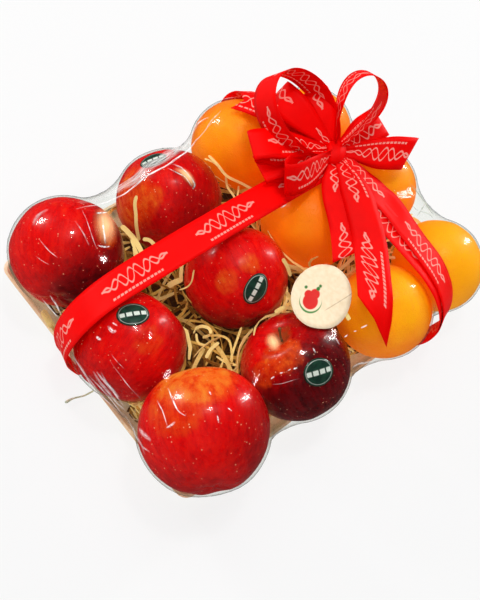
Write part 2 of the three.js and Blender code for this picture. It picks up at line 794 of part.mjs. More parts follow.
function bedLevel(x, y) {
  const reach = [-BED_CELL / 2, 0, BED_CELL / 2];
  const room = Math.min(...reach.flatMap((dx) => reach.map((dy) => roomAt(x + dx, y + dy))));
  return Math.max(BED_FOOT + 2, room - STRAW_GAP);
}

function makeBed() {
  const halfX = TRAY_HALF_X - TRAY_WALL - 1;
  const halfY = TRAY_HALF_Y - TRAY_WALL - 1;
  const nx = Math.round((2 * halfX) / BED_CELL);
  const ny = Math.round((2 * halfY) / BED_CELL);
  const sheet = new THREE.BoxGeometry(2 * halfX, 2 * halfY, 1, nx, ny, 1);
  const solid = weld(sheet);
  const p = solid.attributes.position;
  for (let i = 0; i < p.count; i++) {
    const corner = halfX - Math.abs(p.getX(i)) + halfY - Math.abs(p.getY(i)) < 0.01;
    const shrink = corner ? 0.97 : 1;
    const x = p.getX(i) * shrink;
    const y = p.getY(i) * shrink;
    const edge = Math.min(halfX - Math.abs(x), halfY - Math.abs(y));
    const bump = 2.5 * (chance() - 0.5);
    const high = edge < 4 ? Math.min(bedLevel(x, y), 13) : bedLevel(x, y) + Math.min(bump, 0);
    p.setXYZ(i, x, y, p.getZ(i) > 0 ? high : BED_FOOT);
  }
  return solid;
}

function strawCandidate() {
  const x = (2 * chance() - 1) * (TRAY_HALF_X - 14);
  const y = (2 * chance() - 1) * (TRAY_HALF_Y - 14);
  const turn = 2 * Math.PI * chance();
  const length = 12 + 30 * chance();
  const height = 18 + 34 * chance();
  const low = bedLevel(x, y) - 3;
  const way = V(Math.cos(turn), Math.sin(turn), 0);
  return new THREE.CatmullRomCurve3([
    V(x, y, BED_FOOT + 1.5),
    V(x, y, low + height * 0.8).addScaledVector(way, length * 0.3),
    V(x, y, low + height).addScaledVector(way, length * 0.65),
    V(x, y, low + height * (0.6 + 0.5 * chance())).addScaledVector(way, length),
  ]);
}

function isClear(point) {
  const within = Math.abs(point.x) < TRAY_HALF_X - 4 && Math.abs(point.y) < TRAY_HALF_Y - 4;
  const reach = STRAW_GAP + STRAW_WIDTH / 2;
  return within && point.z < STRAW_TOP && fruits.every((fruit) => clearanceOf(fruit, point) > reach);
}

let bed = solidOf(makeBed());
let stood = 0;
while (stood < STRAW_COUNT) {
  const curve = strawCandidate();
  if (!curve.getPoints(16).every(isClear)) continue;
  const side = V(chance() - 0.5, chance() - 0.5, 0.4 * chance());
  bed = bed.add(solidOf(makeStraw(curve, 4, STRAW_WIDTH, side)));
  stood += 1;
}
place('straw_bed', geometryFrom(bed), 'straw');

export default basket;
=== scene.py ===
import math
import random

import bpy
import numpy as np
from mathutils import Matrix, Vector, noise
from mathutils.bvhtree import BVHTree


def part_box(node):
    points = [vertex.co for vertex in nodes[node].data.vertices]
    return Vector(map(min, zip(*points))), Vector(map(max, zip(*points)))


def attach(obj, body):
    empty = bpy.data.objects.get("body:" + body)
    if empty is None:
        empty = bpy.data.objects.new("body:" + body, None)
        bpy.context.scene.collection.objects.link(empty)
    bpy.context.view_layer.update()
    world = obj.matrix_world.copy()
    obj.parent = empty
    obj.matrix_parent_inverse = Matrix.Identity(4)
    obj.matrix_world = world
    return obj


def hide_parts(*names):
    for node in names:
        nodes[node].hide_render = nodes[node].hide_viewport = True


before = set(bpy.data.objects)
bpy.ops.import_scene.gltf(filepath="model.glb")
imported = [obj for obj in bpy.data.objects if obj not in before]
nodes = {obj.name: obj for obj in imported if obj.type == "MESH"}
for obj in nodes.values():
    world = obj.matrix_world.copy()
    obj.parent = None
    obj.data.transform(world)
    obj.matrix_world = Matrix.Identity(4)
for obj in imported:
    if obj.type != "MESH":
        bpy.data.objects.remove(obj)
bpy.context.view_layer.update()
MM = 0.001


# 1. Tray. A shallow tray pressed from cream paper card, with low leaning walls. Its form is the
# CAD solid's. Card is matt with a faint mottle of short fibres; its floor under the heap is painted
# dark as painted shade, as dark as the gaps in the straw look in the photograph, and the card glows
# faintly in its own colour, a painted light that lifts its shaded walls.
def linear(text):
    """Linear colour of an sRGB hex value."""
    parts = [int(text[i:i + 2], 16) / 255 for i in (0, 2, 4)]
    return [p / 12.92 if p <= 0.04045 else ((p + 0.055) / 1.055) ** 2.4 for p in parts] + [1.0]


def fill(node, sockets):
    """Fills a node's sockets, by number or by name, with constants or links."""
    for key, value in sockets.items():
        if isinstance(value, bpy.types.NodeSocket):
            node.id_data.links.new(value, node.inputs[key])
        else:
            node.inputs[key].default_value = value


def add_node(tree, kind, *values, stops=None, give=0, **named):
    """Adds a node and returns one output of it, or with give=None the node. The kind may end in a full
    stop and an operation or data type. Values fill the sockets in order and names with a capital fill
    them by name; the other names are settings."""
    kind, _, option = kind.partition(".")
    made = tree.nodes.new("ShaderNode" + kind)
    if option:
        setattr(made, "data_type" if kind == "Mix" else "operation", option)
    order = {"RGBA": (0, 6, 7), "FLOAT": (0, 2, 3)}.get(option, range(len(values)))
    sockets = dict(zip(order, values))
    for name, value in named.items():
        if name[0].isupper():
            sockets[name.replace("_", " ")] = value
        else:
            setattr(made, name, value)
    if stops:
        ramp = made.color_ramp
        ramp.elements.remove(ramp.elements[-1])
        for i, (at, shade) in enumerate(stops):
            stop = ramp.elements[0] if i == 0 else ramp.elements.new(at)
            stop.position = at
            stop.color = linear(shade)
    fill(made, sockets)
    if give == 0:
        give = {"RGBA": 2, "DISTANCE": 1, "LENGTH": 1, "DOT_PRODUCT": 1}.get(option, 0)
    return made if give is None else made.outputs[give]


def add_fleck(tree, scale, detail, **more):
    """Fine noise fixed to the piece."""
    place = add_node(tree, "TexCoord", give="Object")
    return add_node(tree, "TexNoise", Vector=place, Scale=scale, Detail=detail, **more)


def add_line(tree, value, level, full, gone, strength=1.0):
    """How strongly a line shows that is drawn where a value meets a level."""
    gap = add_node(tree, "Math.SUBTRACT", value, level)
    gap = add_node(tree, "Math.ABSOLUTE", gap)
    return add_node(tree, "MapRange", gap, full, gone, strength, 0.0)


def new_finish(name, **sockets):
    """A material with one shader; constants go on the shader's own sockets."""
    material = bpy.data.materials.new(name)
    material.use_nodes = True
    shader = material.node_tree.nodes["Principled BSDF"]
    fill(shader, {key.replace("_", " "): value for key, value in sockets.items()})
    return material, material.node_tree, shader


def new_clear(name):
    """A material without the usual shader, for film."""
    material = bpy.data.materials.new(name)
    material.use_nodes = True
    tree = material.node_tree
    tree.nodes.remove(tree.nodes["Principled BSDF"])
    return material, tree


def wear(piece, *materials):
    """Puts the materials in the piece's slots."""
    piece.data.materials.clear()
    for material in materials:
        piece.data.materials.append(material)


# Where the card's floor shows bare and where the heap covers it with painted shade, in metres from the middle
HEAP_COVERS = [("X", 0.138, 0.126), ("Y", 0.092, 0.08), ("Z", 0.009, 0.006)]
card, tree, shader = new_finish("pressed_card", Roughness=0.86, Specular_IOR_Level=0.12)
fibre = add_fleck(tree, 420.0, 5.0, Roughness=0.7)
cloud = add_fleck(tree, 45.0, 2.0)
speck = add_node(tree, "Mix.FLOAT", 0.35, fibre, cloud)
tone = add_node(tree, "ValToRGB", speck, stops=[(0.35, "EBD0A2"), (0.5, "F8E2BA"), (0.66, "FFF2D8")])
place = add_node(tree, "TexCoord", give="Object")
reach = add_node(tree, "VectorMath.ABSOLUTE", place)
reach = add_node(tree, "SeparateXYZ", reach, give=None)
up_side = add_node(tree, "NewGeometry", give="Normal")
up_side = add_node(tree, "SeparateXYZ", up_side, give="Z")
shade_under_heap = add_node(tree, "MapRange", up_side, 0.8, 0.95)
for side, bare, covered in HEAP_COVERS:
    share = add_node(tree, "MapRange", reach.outputs[side], bare, covered)
    shade_under_heap = add_node(tree, "Math.MULTIPLY", share, shade_under_heap)
# The floor under the heap is mixed to dark brown: painted shade.
tone = add_node(tree, "Mix.RGBA", shade_under_heap, tone, linear("4A2A10"))
bump = add_node(tree, "Bump", Strength=0.35, Distance=0.0004, Height=fibre)
# The card's faint emission in its own colour is painted light.
fill(shader, {"Base Color": tone, "Emission Color": tone, "Emission Strength": 0.12, "Normal": bump})
wear(nodes["tray"], card)


# 2. Apples. Six waxed red dessert apples with a dip at the stem and five soft lobes at the eye.
# Each is its half profile spun round the stem line; the skin's own place is kept on the mesh.
# Radius, middle and the stem's way, in millimetres
APPLES = [
    (39.3, (-121.4, 73.7, 49.0), (0.7, 0.7, 0.1)),
    (38.8, (-32.6, 71.1, 47.8), (0.45, 0.88, 0.15)),
    (38.7, (-127.1, -4.8, 46.3), (0.9, 0.3, 0.2)),
    (37.8, (-32.0, -6.1, 48.9), (0.2, 0.95, 0.1)),
    (42.4, (-128.8, -82.9, 60.4), (0.45, 0.8, 0.05)),
    (38.4, (-41.9, -82.4, 48.9), (-0.22, 0.66, 0.72)),
]
APPLE_ROWS = 44
APPLE_TURNS = 72
LOBE_DEPTH = 0.012
APPLE_UNEVEN = 0.0012
STALK_LENGTH = 12.0
STALK_RADIUS = 1.1
STALK_LEAN = 3.0
STALK_GROWTH = (0.84, 0.84, 1.0, 1.0, 1.28, 1.28)


def apple_share(angle):
    """Reach of the skin at an angle from the stem, in shares of the widest radius."""
    stem_dip = 0.34 * np.exp(-((angle / 0.36) ** 2))
    eye_dip = 0.13 * np.exp(-(((math.pi - angle) / 0.32) ** 2))
    taper = 0.05 * np.maximum(0, -np.cos(angle)) * np.sin(angle)
    return 1 - stem_dip - eye_dip - taper


def deselect():
    if bpy.context.object and bpy.context.object.mode != "OBJECT":
        bpy.ops.object.mode_set(mode="OBJECT")
    bpy.ops.object.select_all(action="DESELECT")


def take(piece):
    """Selects one piece and nothing else."""
    deselect()
    piece.select_set(True)
    bpy.context.view_layer.objects.active = piece


def new_piece(name, points, faces=(), edges=()):
    mesh = bpy.data.meshes.new(name)
    mesh.from_pydata([tuple(p) for p in points], list(edges), list(faces))
    piece = bpy.data.objects.new(name, mesh)
    bpy.context.scene.collection.objects.link(piece)
    take(piece)
    return piece


def places_of(piece):
    flat = np.zeros(len(piece.data.vertices) * 3, np.float32)
    piece.data.vertices.foreach_get("co", flat)
    return flat.reshape(-1, 3).astype(float)


def set_places(piece, points):
    piece.data.vertices.foreach_set("co", np.asarray(points, np.float32).ravel())
    piece.data.update()


def mark(piece, name, values, kind="FLOAT"):
    """Keeps a value for every point of the mesh under a name that a material reads."""
    field = "vector" if kind == "FLOAT_VECTOR" else "value"
    made = piece.data.attributes.new(name, kind, "POINT")
    made.data.foreach_set(field, np.asarray(values, np.float32).ravel())


def smoothed(share):
    """Eases a share of 0 to 1 in and out."""
    share = np.clip(share, 0, 1)
    return share * share * (3 - 2 * share)


def turn_faces_out():
    """Turns the active piece's faces outward and smooths them."""
    bpy.ops.object.mode_set(mode="EDIT")
    bpy.ops.mesh.select_all(action="SELECT")
    bpy.ops.mesh.normals_make_consistent(inside=False)
    bpy.ops.object.mode_set(mode="OBJECT")
    bpy.ops.object.shade_smooth()


def draw_out(moves, growth):
    """Extrudes the active piece's one face along the moves and resizes it at each."""
    bpy.ops.object.mode_set(mode="EDIT")
    bpy.ops.mesh.select_all(action="SELECT")
    for move, grow in zip(moves, growth):
        bpy.ops.mesh.extrude_region_move(TRANSFORM_OT_translate={"value": tuple(move)})
        bpy.ops.transform.resize(value=(grow, grow, grow))
    turn_faces_out()


def spun_fruit(name, radius, share, rows, turns):
    """Half profile from stem to eye, spun round the stem line, in metres about the fruit's middle."""
    angles = np.linspace(0, math.pi, rows + 1)
    reach = radius * MM * share(angles)
    across = np.where((angles < 1e-6) | (angles > math.pi - 1e-6), 0, reach * np.sin(angles))
    profile = [(a, 0, r * math.cos(t)) for a, r, t in zip(across, reach, angles)]
    fruit = new_piece(name, profile, edges=[(i, i + 1) for i in range(rows)])
    bpy.ops.object.mode_set(mode="EDIT")
    bpy.ops.mesh.select_all(action="SELECT")
    bpy.ops.mesh.spin(steps=turns, angle=2 * math.pi, center=(0, 0, 0), axis=(0, 0, 1))
    bpy.ops.mesh.select_all(action="SELECT")
    bpy.ops.mesh.remove_doubles(threshold=0.00001)
    turn_faces_out()
    return fruit


def turn_to(stem):
    return Vector((0, 0, 1)).rotation_difference(Vector(stem).normalized()).to_matrix().to_4x4()


def painted(directions, patches, softness=0.35):
    """Strength of the paint at each direction; a patch is a way, its half angle in degrees and a strength."""
    total = np.zeros(len(directions))
    for way, half, strength in patches:
        way = np.array(way) / np.linalg.norm(way)
        angle = np.degrees(np.arccos(np.clip(directions @ way, -1, 1)))
        edge = smoothed((half * (1 + softness) - angle) / (2 * softness * half))
        total = np.maximum(total, strength * edge)
    return total


# Paint by apple: sunless orange ground that shows through, and the maroon side, partly the skin's
# own maroon and partly painted shade on the sides away from the light
APPLE_GROUND = [
    [((0.49, -0.36, 0.79), 17, 0.75), ((0.2, 0.5, 0.85), 20, 0.3)],
    [((-0.86, 0.26, 0.44), 38, 0.7), ((-0.64, -0.08, 0.77), 14, 0.62), ((0.5, -0.5, 0.7), 22, 0.3)],
    [((-0.06, -0.37, 0.93), 17, 0.5), ((0.9, 0.1, 0.4), 30, 0.4)],
    [((-0.64, -0.16, 0.75), 15, 0.62), ((-0.15, -0.18, 0.97), 13, 0.66), ((0.3, 0.9, 0.4), 30, 0.4)],
    [((0.1, 0.66, 0.74), 42, 0.8), ((-0.4, 0.5, 0.8), 34, 0.6), ((0.1, 0.9, 0.4), 22, 1.0)],
    [((-0.51, 0.24, 0.83), 24, 0.66), ((-0.87, 0.16, 0.47), 16, 0.58), ((0.2, 0.7, 0.7), 22, 0.4)],
]
# Maroon patches: partly the skin's own maroon, partly painted shade on each apple's shaded sides
APPLE_MAROON_AND_SHADE = [
    [((-0.19, -0.93, 0.2), 46, 0.9), ((0.6, -0.75, 0.3), 46, 0.8)],
    [((0.0, -0.9, 0.5), 40, 0.5), ((0.9, -0.4, 0.2), 55, 0.55), ((-0.9, -0.2, 0.2), 40, 0.3)],
    [((0.7, -0.7, 0.1), 45, 0.5), ((-0.7, -0.7, -0.1), 45, 0.4)],
    [((-0.6, -0.8, -0.3), 40, 0.6), ((0.9, -0.4, 0.1), 40, 0.3)],
    [((0.5, -0.8, 0.3), 46, 0.6), ((-0.6, -0.7, -0.2), 40, 0.5)],
    [((0.05, -0.7, 0.72), 62, 1.0), ((-0.5, -0.8, 0.2), 60, 1.0), ((0.9, 0.1, 0.4), 60, 0.9)],
]


def add_stalk(radius):
    """A stalk from the dip, bent a little and wider at its broken end."""
    foot = (radius * float(apple_share(np.array(0.0))) - 2) * MM
    deselect()
    bpy.ops.mesh.primitive_circle_add(
        vertices=10, radius=STALK_RADIUS * MM, fill_type="NGON", location=(0, 0, foot)
    )
    stalk = bpy.context.object
    bpy.ops.object.transform_apply(location=True, rotation=True, scale=True)
    steps = len(STALK_GROWTH)
    lean = [STALK_LEAN * MM * (2 * i + 1) / steps ** 2 for i in range(steps)]
    draw_out([(side, 0, STALK_LENGTH * MM / steps) for side in lean], STALK_GROWTH)
    bevel = stalk.modifiers.new("worn_edge", "BEVEL")
    bevel.width = 0.2 * MM
    bevel.limit_method = "ANGLE"
    bpy.ops.object.modifier_apply(modifier=bevel.name)
    bpy.ops.object.shade_smooth()
    return stalk


def make_apple(number, radius, centre, stem):
    apple = spun_fruit(f"apple_{number}_skin", radius, apple_share, APPLE_ROWS, APPLE_TURNS)
    points = places_of(apple)
    far = np.linalg.norm(points, axis=1)
    turn = np.arctan2(points[:, 1], points[:, 0])
    low = np.maximum(0, -points[:, 2] / far)
    points *= (1 - LOBE_DEPTH * low * (1 - np.cos(5 * turn)))[:, None]
    size = radius * MM
    other = Vector((number * 7, 0, 0))
    soft = [APPLE_UNEVEN * noise.noise(Vector(p / size) * 1.3 + other) for p in points]
    points *= (1 - np.abs(soft) / size)[:, None]
    set_places(apple, points)
    seat = Matrix.Translation(Vector(centre) * MM) @ turn_to(stem)
    own = points / size
    ways = own @ np.array(turn_to(stem).to_3x3()).T
    ways /= np.linalg.norm(ways, axis=1)[:, None]
    mark(apple, "skin", own, "FLOAT_VECTOR")
    mark(apple, "ground", painted(ways, APPLE_GROUND[number - 1]))
    mark(apple, "maroon_and_shade", painted(ways, APPLE_MAROON_AND_SHADE[number - 1], 0.6))
    stalk = add_stalk(radius)
    wear(apple, apple_skin, stalk_wood)
    wear(stalk, stalk_wood)
    deselect()
    stalk.select_set(True)
    apple.select_set(True)
    bpy.context.view_layer.objects.active = apple
    bpy.ops.object.join()
    apple.data.transform(seat)
    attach(apple, "root")
    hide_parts(f"apple_{number}")


# Waxed apple skin: clear wax over red tones, streaked from stem to eye, with pale breathing dots
# up to 1 mm across and about 3 mm apart; the wax gives sharp window highlights.
apple_skin, tree, shader = new_finish(
    "apple_skin_waxed", Roughness=0.3, IOR=1.3, Specular_IOR_Level=0.35,
    Coat_Weight=0.12, Coat_Roughness=0.05, Coat_IOR=1.4,
)
own = add_node(tree, "Attribute", attribute_name="skin", give="Vector")
ground = add_node(tree, "Attribute", attribute_name="ground", give="Fac")
maroon_and_shade = add_node(tree, "Attribute", attribute_name="maroon_and_shade", give="Fac")
drawn = add_node(tree, "Mapping", Vector=own, Scale=(7.0, 7.0, 1.3))
streak = add_node(tree, "TexNoise", Vector=drawn, Scale=1.6, Detail=6.0, Roughness=0.62)
mottle = add_node(tree, "TexNoise", Vector=own, Scale=5.5, Detail=7.0, Roughness=0.68)
red = add_node(tree, "ValToRGB", streak, stops=[(0.3, "CE0005"), (0.5, "EE0304"), (0.7, "FA1A0A")])
# Dark maroon: the skin's own maroon and the painted shade on its shaded sides
maroon_and_shade_red = add_node(tree, "ValToRGB", streak, stops=[(0.35, "3F0004"), (0.6, "700007")])
maroon_and_shade_edge = add_node(tree, "Math.MULTIPLY_ADD", mottle, 0.6, maroon_and_shade)
maroon_and_shade_part = add_node(tree, "MapRange", maroon_and_shade_edge, 0.35, 1.25, 0.0, 1.0)
skin = add_node(tree, "Mix.RGBA", maroon_and_shade_part, red, maroon_and_shade_red)
ragged = add_node(tree, "Math.MULTIPLY_ADD", streak, 0.55, ground)
ragged = add_node(tree, "Math.MULTIPLY_ADD", mottle, 0.75, ragged)
ground_part = add_node(tree, "MapRange", ragged, 0.98, 1.45, 0.0, 0.92)
yellow = add_node(tree, "MapRange", ragged, 1.0, 1.75, 0.2, 1.0)
ground_tone = add_node(tree, "ValToRGB", yellow, stops=[(0.0, "D6340A"), (0.55, "F4500E"), (1.0, "FB9A30")])
skin = add_node(tree, "Mix.RGBA", ground_part, skin, ground_tone)
dots = add_node(tree, "TexVoronoi", Vector=own, Scale=13.0, Randomness=1.0)
big = add_node(tree, "TexVoronoi", Vector=own, Scale=13.0, Randomness=1.0, give="Color")
size = add_node(tree, "MapRange", big, 0.2, 1.0, 0.03, 0.19)
dot = add_node(tree, "Math.LESS_THAN", dots, size)
dot = add_node(tree, "Math.MULTIPLY", dot, 0.7)
skin = add_node(tree, "Mix.RGBA", dot, skin, linear("FFB890"))
stem_near = add_node(tree, "VectorMath.DISTANCE", own, (0, 0, 0.68))
russet = add_node(tree, "Math.MULTIPLY_ADD", mottle, -0.3, stem_near)
russet = add_node(tree, "MapRange", russet, 0.0, 0.14, 0.55, 0.0)
skin = add_node(tree, "Mix.RGBA", russet, skin, linear("8A5A24"))
wax = add_node(tree, "MapRange", mottle, 0.3, 0.7, 0.22, 0.36)
bump = add_node(tree, "Bump", Strength=0.25, Distance=0.0006, Height=mottle)
fill(shader, {"Base Color": skin, "Roughness": wax, "Normal": bump})


def dry_finish(name, rough, scale, tones, touch, depth):
    """Dry matt plant fibre in two tones, with a fine grain."""
    finish, tree, shader = new_finish(name, Roughness=rough)
    grain = add_fleck(tree, scale, 3.0)
    tone = add_node(tree, "ValToRGB", grain, stops=tones)
    bump = add_node(tree, "Bump", Strength=touch, Distance=depth, Height=grain)
    fill(shader, {"Base Color": tone, "Normal": bump})
    return finish


# Stalk wood: dry brown bark
stalk_wood = dry_finish("stalk_bark", 0.75, 900.0, [(0.35, "4A2E14"), (0.7, "8E6B33")], 0.4, 0.0003)

for number, (radius, centre, stem) in enumerate(APPLES, 1):
    make_apple(number, radius, centre, stem)


# 3. Oranges. Six round oranges, slightly flat at both ends, with a small scar where the stem was.
# The rind is full of oil pores about 1 mm apart, which break up its soft shine.
# Radius, middle and the stem's way, in millimetres
ORANGES = [
    (35.7, (46.4, 85.3, 47.5), (0.50, 0.80, 0.33)),
    (35.8, (45.8, 0.8, 48.1), (0.90, 0.10, 0.42)),
    (35.4, (43.0, -86.8, 49.9), (0.60, 0.77, 0.21)),
    (33.5, (114.5, 70, 42), (0.70, 0.60, 0.38)),
    (35.6, (117.8, -1.3, 44.4), (0.95, 0.20, 0.24)),
    (35.7, (114.2, -81.8, 43.3), (0.80, -0.30, 0.52)),
]
# How yellow each one is, and its yellow patches
ORANGE_RIPE = [0.22, 0.1, 0.4, 0.3, 0.42, 0.85]
ORANGE_YELLOW = [
    [((-0.56, 0.05, 0.82), 30, 0.3), ((-0.94, 0.1, 0.3), 30, 0.3)],
    [((-0.67, -0.16, 0.73), 22, 0.25)],
    [((-0.28, -0.11, 0.95), 45, 0.5)],
    [((0.0, 0.0, 1.0), 40, 0.3)],
    [((-0.2, 0.0, 0.97), 40, 0.3)],
    [((-0.17, -0.11, 0.98), 60, 0.3)],
]
ORANGE_ROWS = 40
ORANGE_TURNS = 64
ORANGE_UNEVEN = 0.0007


def orange_share(angle):
    return 1 - 0.03 * np.cos(angle) ** 2 - 0.02 * np.exp(-((angle / 0.2) ** 2))


# Orange rind: peel without wax; its pores are about 1.2 mm apart and hold the darker orange.
orange_peel, tree, shader = new_finish("orange_rind", Roughness=0.45, IOR=1.3, Specular_IOR_Level=0.4)
# A faint red-orange glow of the rind, a painted light that lifts its shaded sides.
fill(shader, {"Emission Color": linear("FF6500"), "Emission Strength": 0.26})
own = add_node(tree, "Attribute", attribute_name="skin", give="Vector")
ripe = add_node(tree, "Attribute", attribute_name="ripe", give="Fac")
cloud = add_node(tree, "TexNoise", Vector=own, Scale=2.6, Detail=4.0)
ripeness = add_node(tree, "Math.MULTIPLY_ADD", cloud, 0.4, ripe)
peel = add_node(
    tree, "ValToRGB", ripeness, stops=[(0.2, "F06A03"), (0.5, "FA8407"), (0.8, "FDA20A"), (1.0, "FFB70A")]
)
pores = add_node(tree, "TexVoronoi", Vector=own, Scale=30.0, Randomness=0.9)
pit = add_node(tree, "MapRange", pores, 0.05, 0.45, 0.0, 1.0)
shade = add_node(tree, "MapRange", pit, 0.0, 1.0, 0.28, 0.0)
peel = add_node(tree, "Mix.RGBA", shade, peel, linear("DE6400"))
scar_far = add_node(tree, "VectorMath.DISTANCE", own, (0, 0, 0.95))
scar = add_node(tree, "MapRange", scar_far, 0.06, 0.11, 1.0, 0.0)
peel = add_node(tree, "Mix.RGBA", scar, peel, linear("6F6A2A"))
bump = add_node(tree, "Bump", Strength=0.55, Distance=0.0005, Height=pit)
gloss = add_node(tree, "MapRange", pit, 0.0, 1.0, 0.6, 0.36)
fill(shader, {"Base Color": peel, "Roughness": gloss, "Normal": bump})

for number, (radius, centre, stem) in enumerate(ORANGES, 1):
    orange = spun_fruit(f"orange_{number}_rind", radius, orange_share, ORANGE_ROWS, ORANGE_TURNS)
    points = places_of(orange)
    own = points / (radius * MM)
    soft = np.array([noise.noise(Vector(p) * 1.6 + Vector((0, number * 5, 0))) for p in own])
    set_places(orange, points * (1 - ORANGE_UNEVEN / (radius * MM) * np.abs(soft))[:, None])
    ways = own @ np.array(turn_to(stem).to_3x3()).T
    mark(orange, "skin", own, "FLOAT_VECTOR")
    mark(orange, "ripe", ORANGE_RIPE[number - 1] + painted(ways, ORANGE_YELLOW[number - 1], 0.8))
    wear(orange, orange_peel)
    orange.data.transform(Matrix.Translation(Vector(centre) * MM) @ turn_to(stem))
    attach(orange, "root")
    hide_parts(f"orange_{number}")


# 4. Straw. Flat shreds mostly 1.6 to 3 mm wide, packed on the tray and round the fruit, some of
# them standing up into the gaps. Dry straw is matt gold and cream; shreds low in the heap are
# painted darker as painted shade.
ALL_FRUIT = [(*fruit, apple_share) for fruit in APPLES] + [(*fruit, orange_share) for fruit in ORANGES]
INSIDE = np.array([142.0, 95.5])
STRAW_COUNT = 760
STRAW_STEPS = 7
STRAW_THICK = 0.35
STRAW_SLIP = 0.3
# Gaps that a shred keeps from the fruit and from the film: in the heap, where it shows, in a corner
HEAP_GAPS, SHOWN_GAPS, WEDGE_GAPS = (2.4, 4.5), (1.4, 3.0), (1.8, 2.6)
STRAW_START = (7, 46)
STRAW_LOW, STRAW_HIGH, STRAW_AT_WALL = 6.2, 62, 30


def off_the_fruit(points, gap, least=0.0):
    """Points in millimetres pushed out until they clear every fruit by a gap."""
    for radius, centre, stem, share in ALL_FRUIT:
        away = points - np.array(centre)
        far = np.linalg.norm(away, axis=1)
        near = far < radius + gap
        if not near.any():
            continue
        way = away[near] / far[near][:, None]
        angle = np.arccos(np.clip(way @ (np.array(stem) / np.linalg.norm(stem)), -1, 1))
        reach = radius * np.maximum(share(angle), least) + gap
        points[near] = np.array(centre) + way * np.maximum(far[near], reach)[:, None]
    return points


def run_of(line):
    """Length along a line up to each of its points."""
    return np.r_[0, np.cumsum(np.linalg.norm(np.diff(line, axis=0), axis=1))]


def eased(line, count):
    """A smooth line of that many points through the given ones."""
    line = np.asarray(line, float)
    far = run_of(line)
    knots = np.concatenate([[2 * line[0] - line[1]], line, [2 * line[-1] - line[-2]]])
    made = []
    for at in np.linspace(0, far[-1], count):
        k = min(np.searchsorted(far, at, side="right") - 1, len(line) - 2)
        t = (at - far[k]) / max(far[k + 1] - far[k], 1e-9)
        a, b, c, d = knots[k:k + 4]
        bend, swing = 2 * a - 5 * b + 4 * c - d, 3 * b - a - 3 * c + d
        made.append(0.5 * (2 * b + (c - a) * t + bend * t * t + swing * t ** 3))
    return np.array(made)


def shred(line, width, thick, side, twist):
    """A flat strip along a line, as rings of four points."""
    rings = []
    ahead = np.gradient(line, axis=0)
    for i, (at, way) in enumerate(zip(line, ahead)):
        way = Vector(way).normalized()
        turn = twist * i / len(line)
        wide = Vector(side) - way * way.dot(Vector(side))
        wide = wide.normalized() if wide.length > 0.05 else way.orthogonal().normalized()
        over = wide.cross(way)
        across = wide * math.cos(turn) + over * math.sin(turn)
        over = across.cross(way)
        half = width / 2 * (0.55 if i in (0, len(line) - 1) else 1)
        for a, b in ((1, 1), (1, -1), (-1, -1), (-1, 1)):
            rings.append(np.array(at) + np.array(across) * a * half + np.array(over) * b * thick / 2)
    return rings


def tube_faces(first, ring, count):
    """Faces of a closed strip made of rings of points, with both ends shut."""
    faces = []
    last = first + (count - 1) * ring
    for a in range(first, last, ring):
        for i in range(ring):
            after = (i + 1) % ring
            faces.append((a + i, a + after, a + ring + after, a + ring + i))
    faces.append(tuple(range(first + ring - 1, first - 1, -1)))
    faces.append(tuple(range(last, last + ring)))
    return faces


straw_points, straw_faces, straw_tone_and_shade = [], [], []


def lay_shred(line, width, side, twist, tone):
    rings = shred(line, width, STRAW_THICK, side, twist)
    straw_faces.extend(tube_faces(len(straw_points), 4, len(line)))
    straw_points.extend(rings)
    straw_tone_and_shade.extend([tone] * len(rings))


def surface_of(piece):
    """A piece's surface, to drop points onto."""
    mesh = piece.data
    return BVHTree.FromPolygons([v.co for v in mesh.vertices], [p.vertices for p in mesh.polygons])


straw_chance = random.Random(11)
film_top = surface_of(nodes["film"])


def top_at(surface, x, y):
    """The highest place of a surface above a point of the floor, if there is one."""
    return surface.ray_cast(Vector((x, y, 300)) * MM, Vector((0, 0, -1)))[0]


def under_film(points, gap):
    """Lowers points that stand higher than the film allows."""
    for p in points:
        hit = top_at(film_top, p[0], p[1])
        top = (hit.z / MM if hit else 20) - gap
        p[2] = min(p[2], top)
    return points


laid = 0
while laid < STRAW_COUNT:
    x = straw_chance.uniform(-INSIDE[0], INSIDE[0])
    y = straw_chance.uniform(-INSIDE[1], INSIDE[1])
    start = np.array([[x, y, straw_chance.uniform(*STRAW_START)]])
    if np.abs(off_the_fruit(start.copy(), 1.5) - start).max() > 2:
        continue
    turn = straw_chance.uniform(0, 2 * math.pi)
    rise = straw_chance.uniform(-0.35, 0.5)
    bend = straw_chance.uniform(-0.25, 0.25)
    length = straw_chance.uniform(22, 60)
    line = [start[0]]
    for _ in range(STRAW_STEPS):
        way = np.array([math.cos(turn), math.sin(turn), rise])
        line.append(line[-1] + way / np.linalg.norm(way) * length / STRAW_STEPS)
        turn += bend
        rise += straw_chance.uniform(-0.25, 0.18)
    line = np.array(line)
    for _ in range(4):
        line = off_the_fruit(line, HEAP_GAPS[0])
        line[:, :2] = np.clip(line[:, :2], -INSIDE, INSIDE)
        wall = (INSIDE - np.abs(line[:, :2])).min(axis=1) < 5
        line[:, 2] = np.clip(line[:, 2], STRAW_LOW, np.where(wall, STRAW_AT_WALL, STRAW_HIGH))
    if np.abs(off_the_fruit(line.copy(), 1.4) - line).max() > STRAW_SLIP:
        continue
    steps = np.linalg.norm(np.diff(line, axis=0), axis=1)
    if steps.max() > 2.6 * length / STRAW_STEPS or steps.min() < 0.25:
        continue
    line = under_film(line, HEAP_GAPS[1])
    if line[:, 2].min() < 5.4:
        continue
    side = [straw_chance.gauss(0, 1) for _ in range(3)]
    height = line[:, 2].mean()
    # Lower shreds get a darker tone, painted shade deep in the heap, with a random spread
    tone = min(1, max(0, (height - 8) / 45 + straw_chance.gauss(0, 0.22)))
    lay_shred(line, straw_chance.uniform(1.6, 3.0), side, straw_chance.uniform(-1.5, 1.5), tone)
    laid += 1

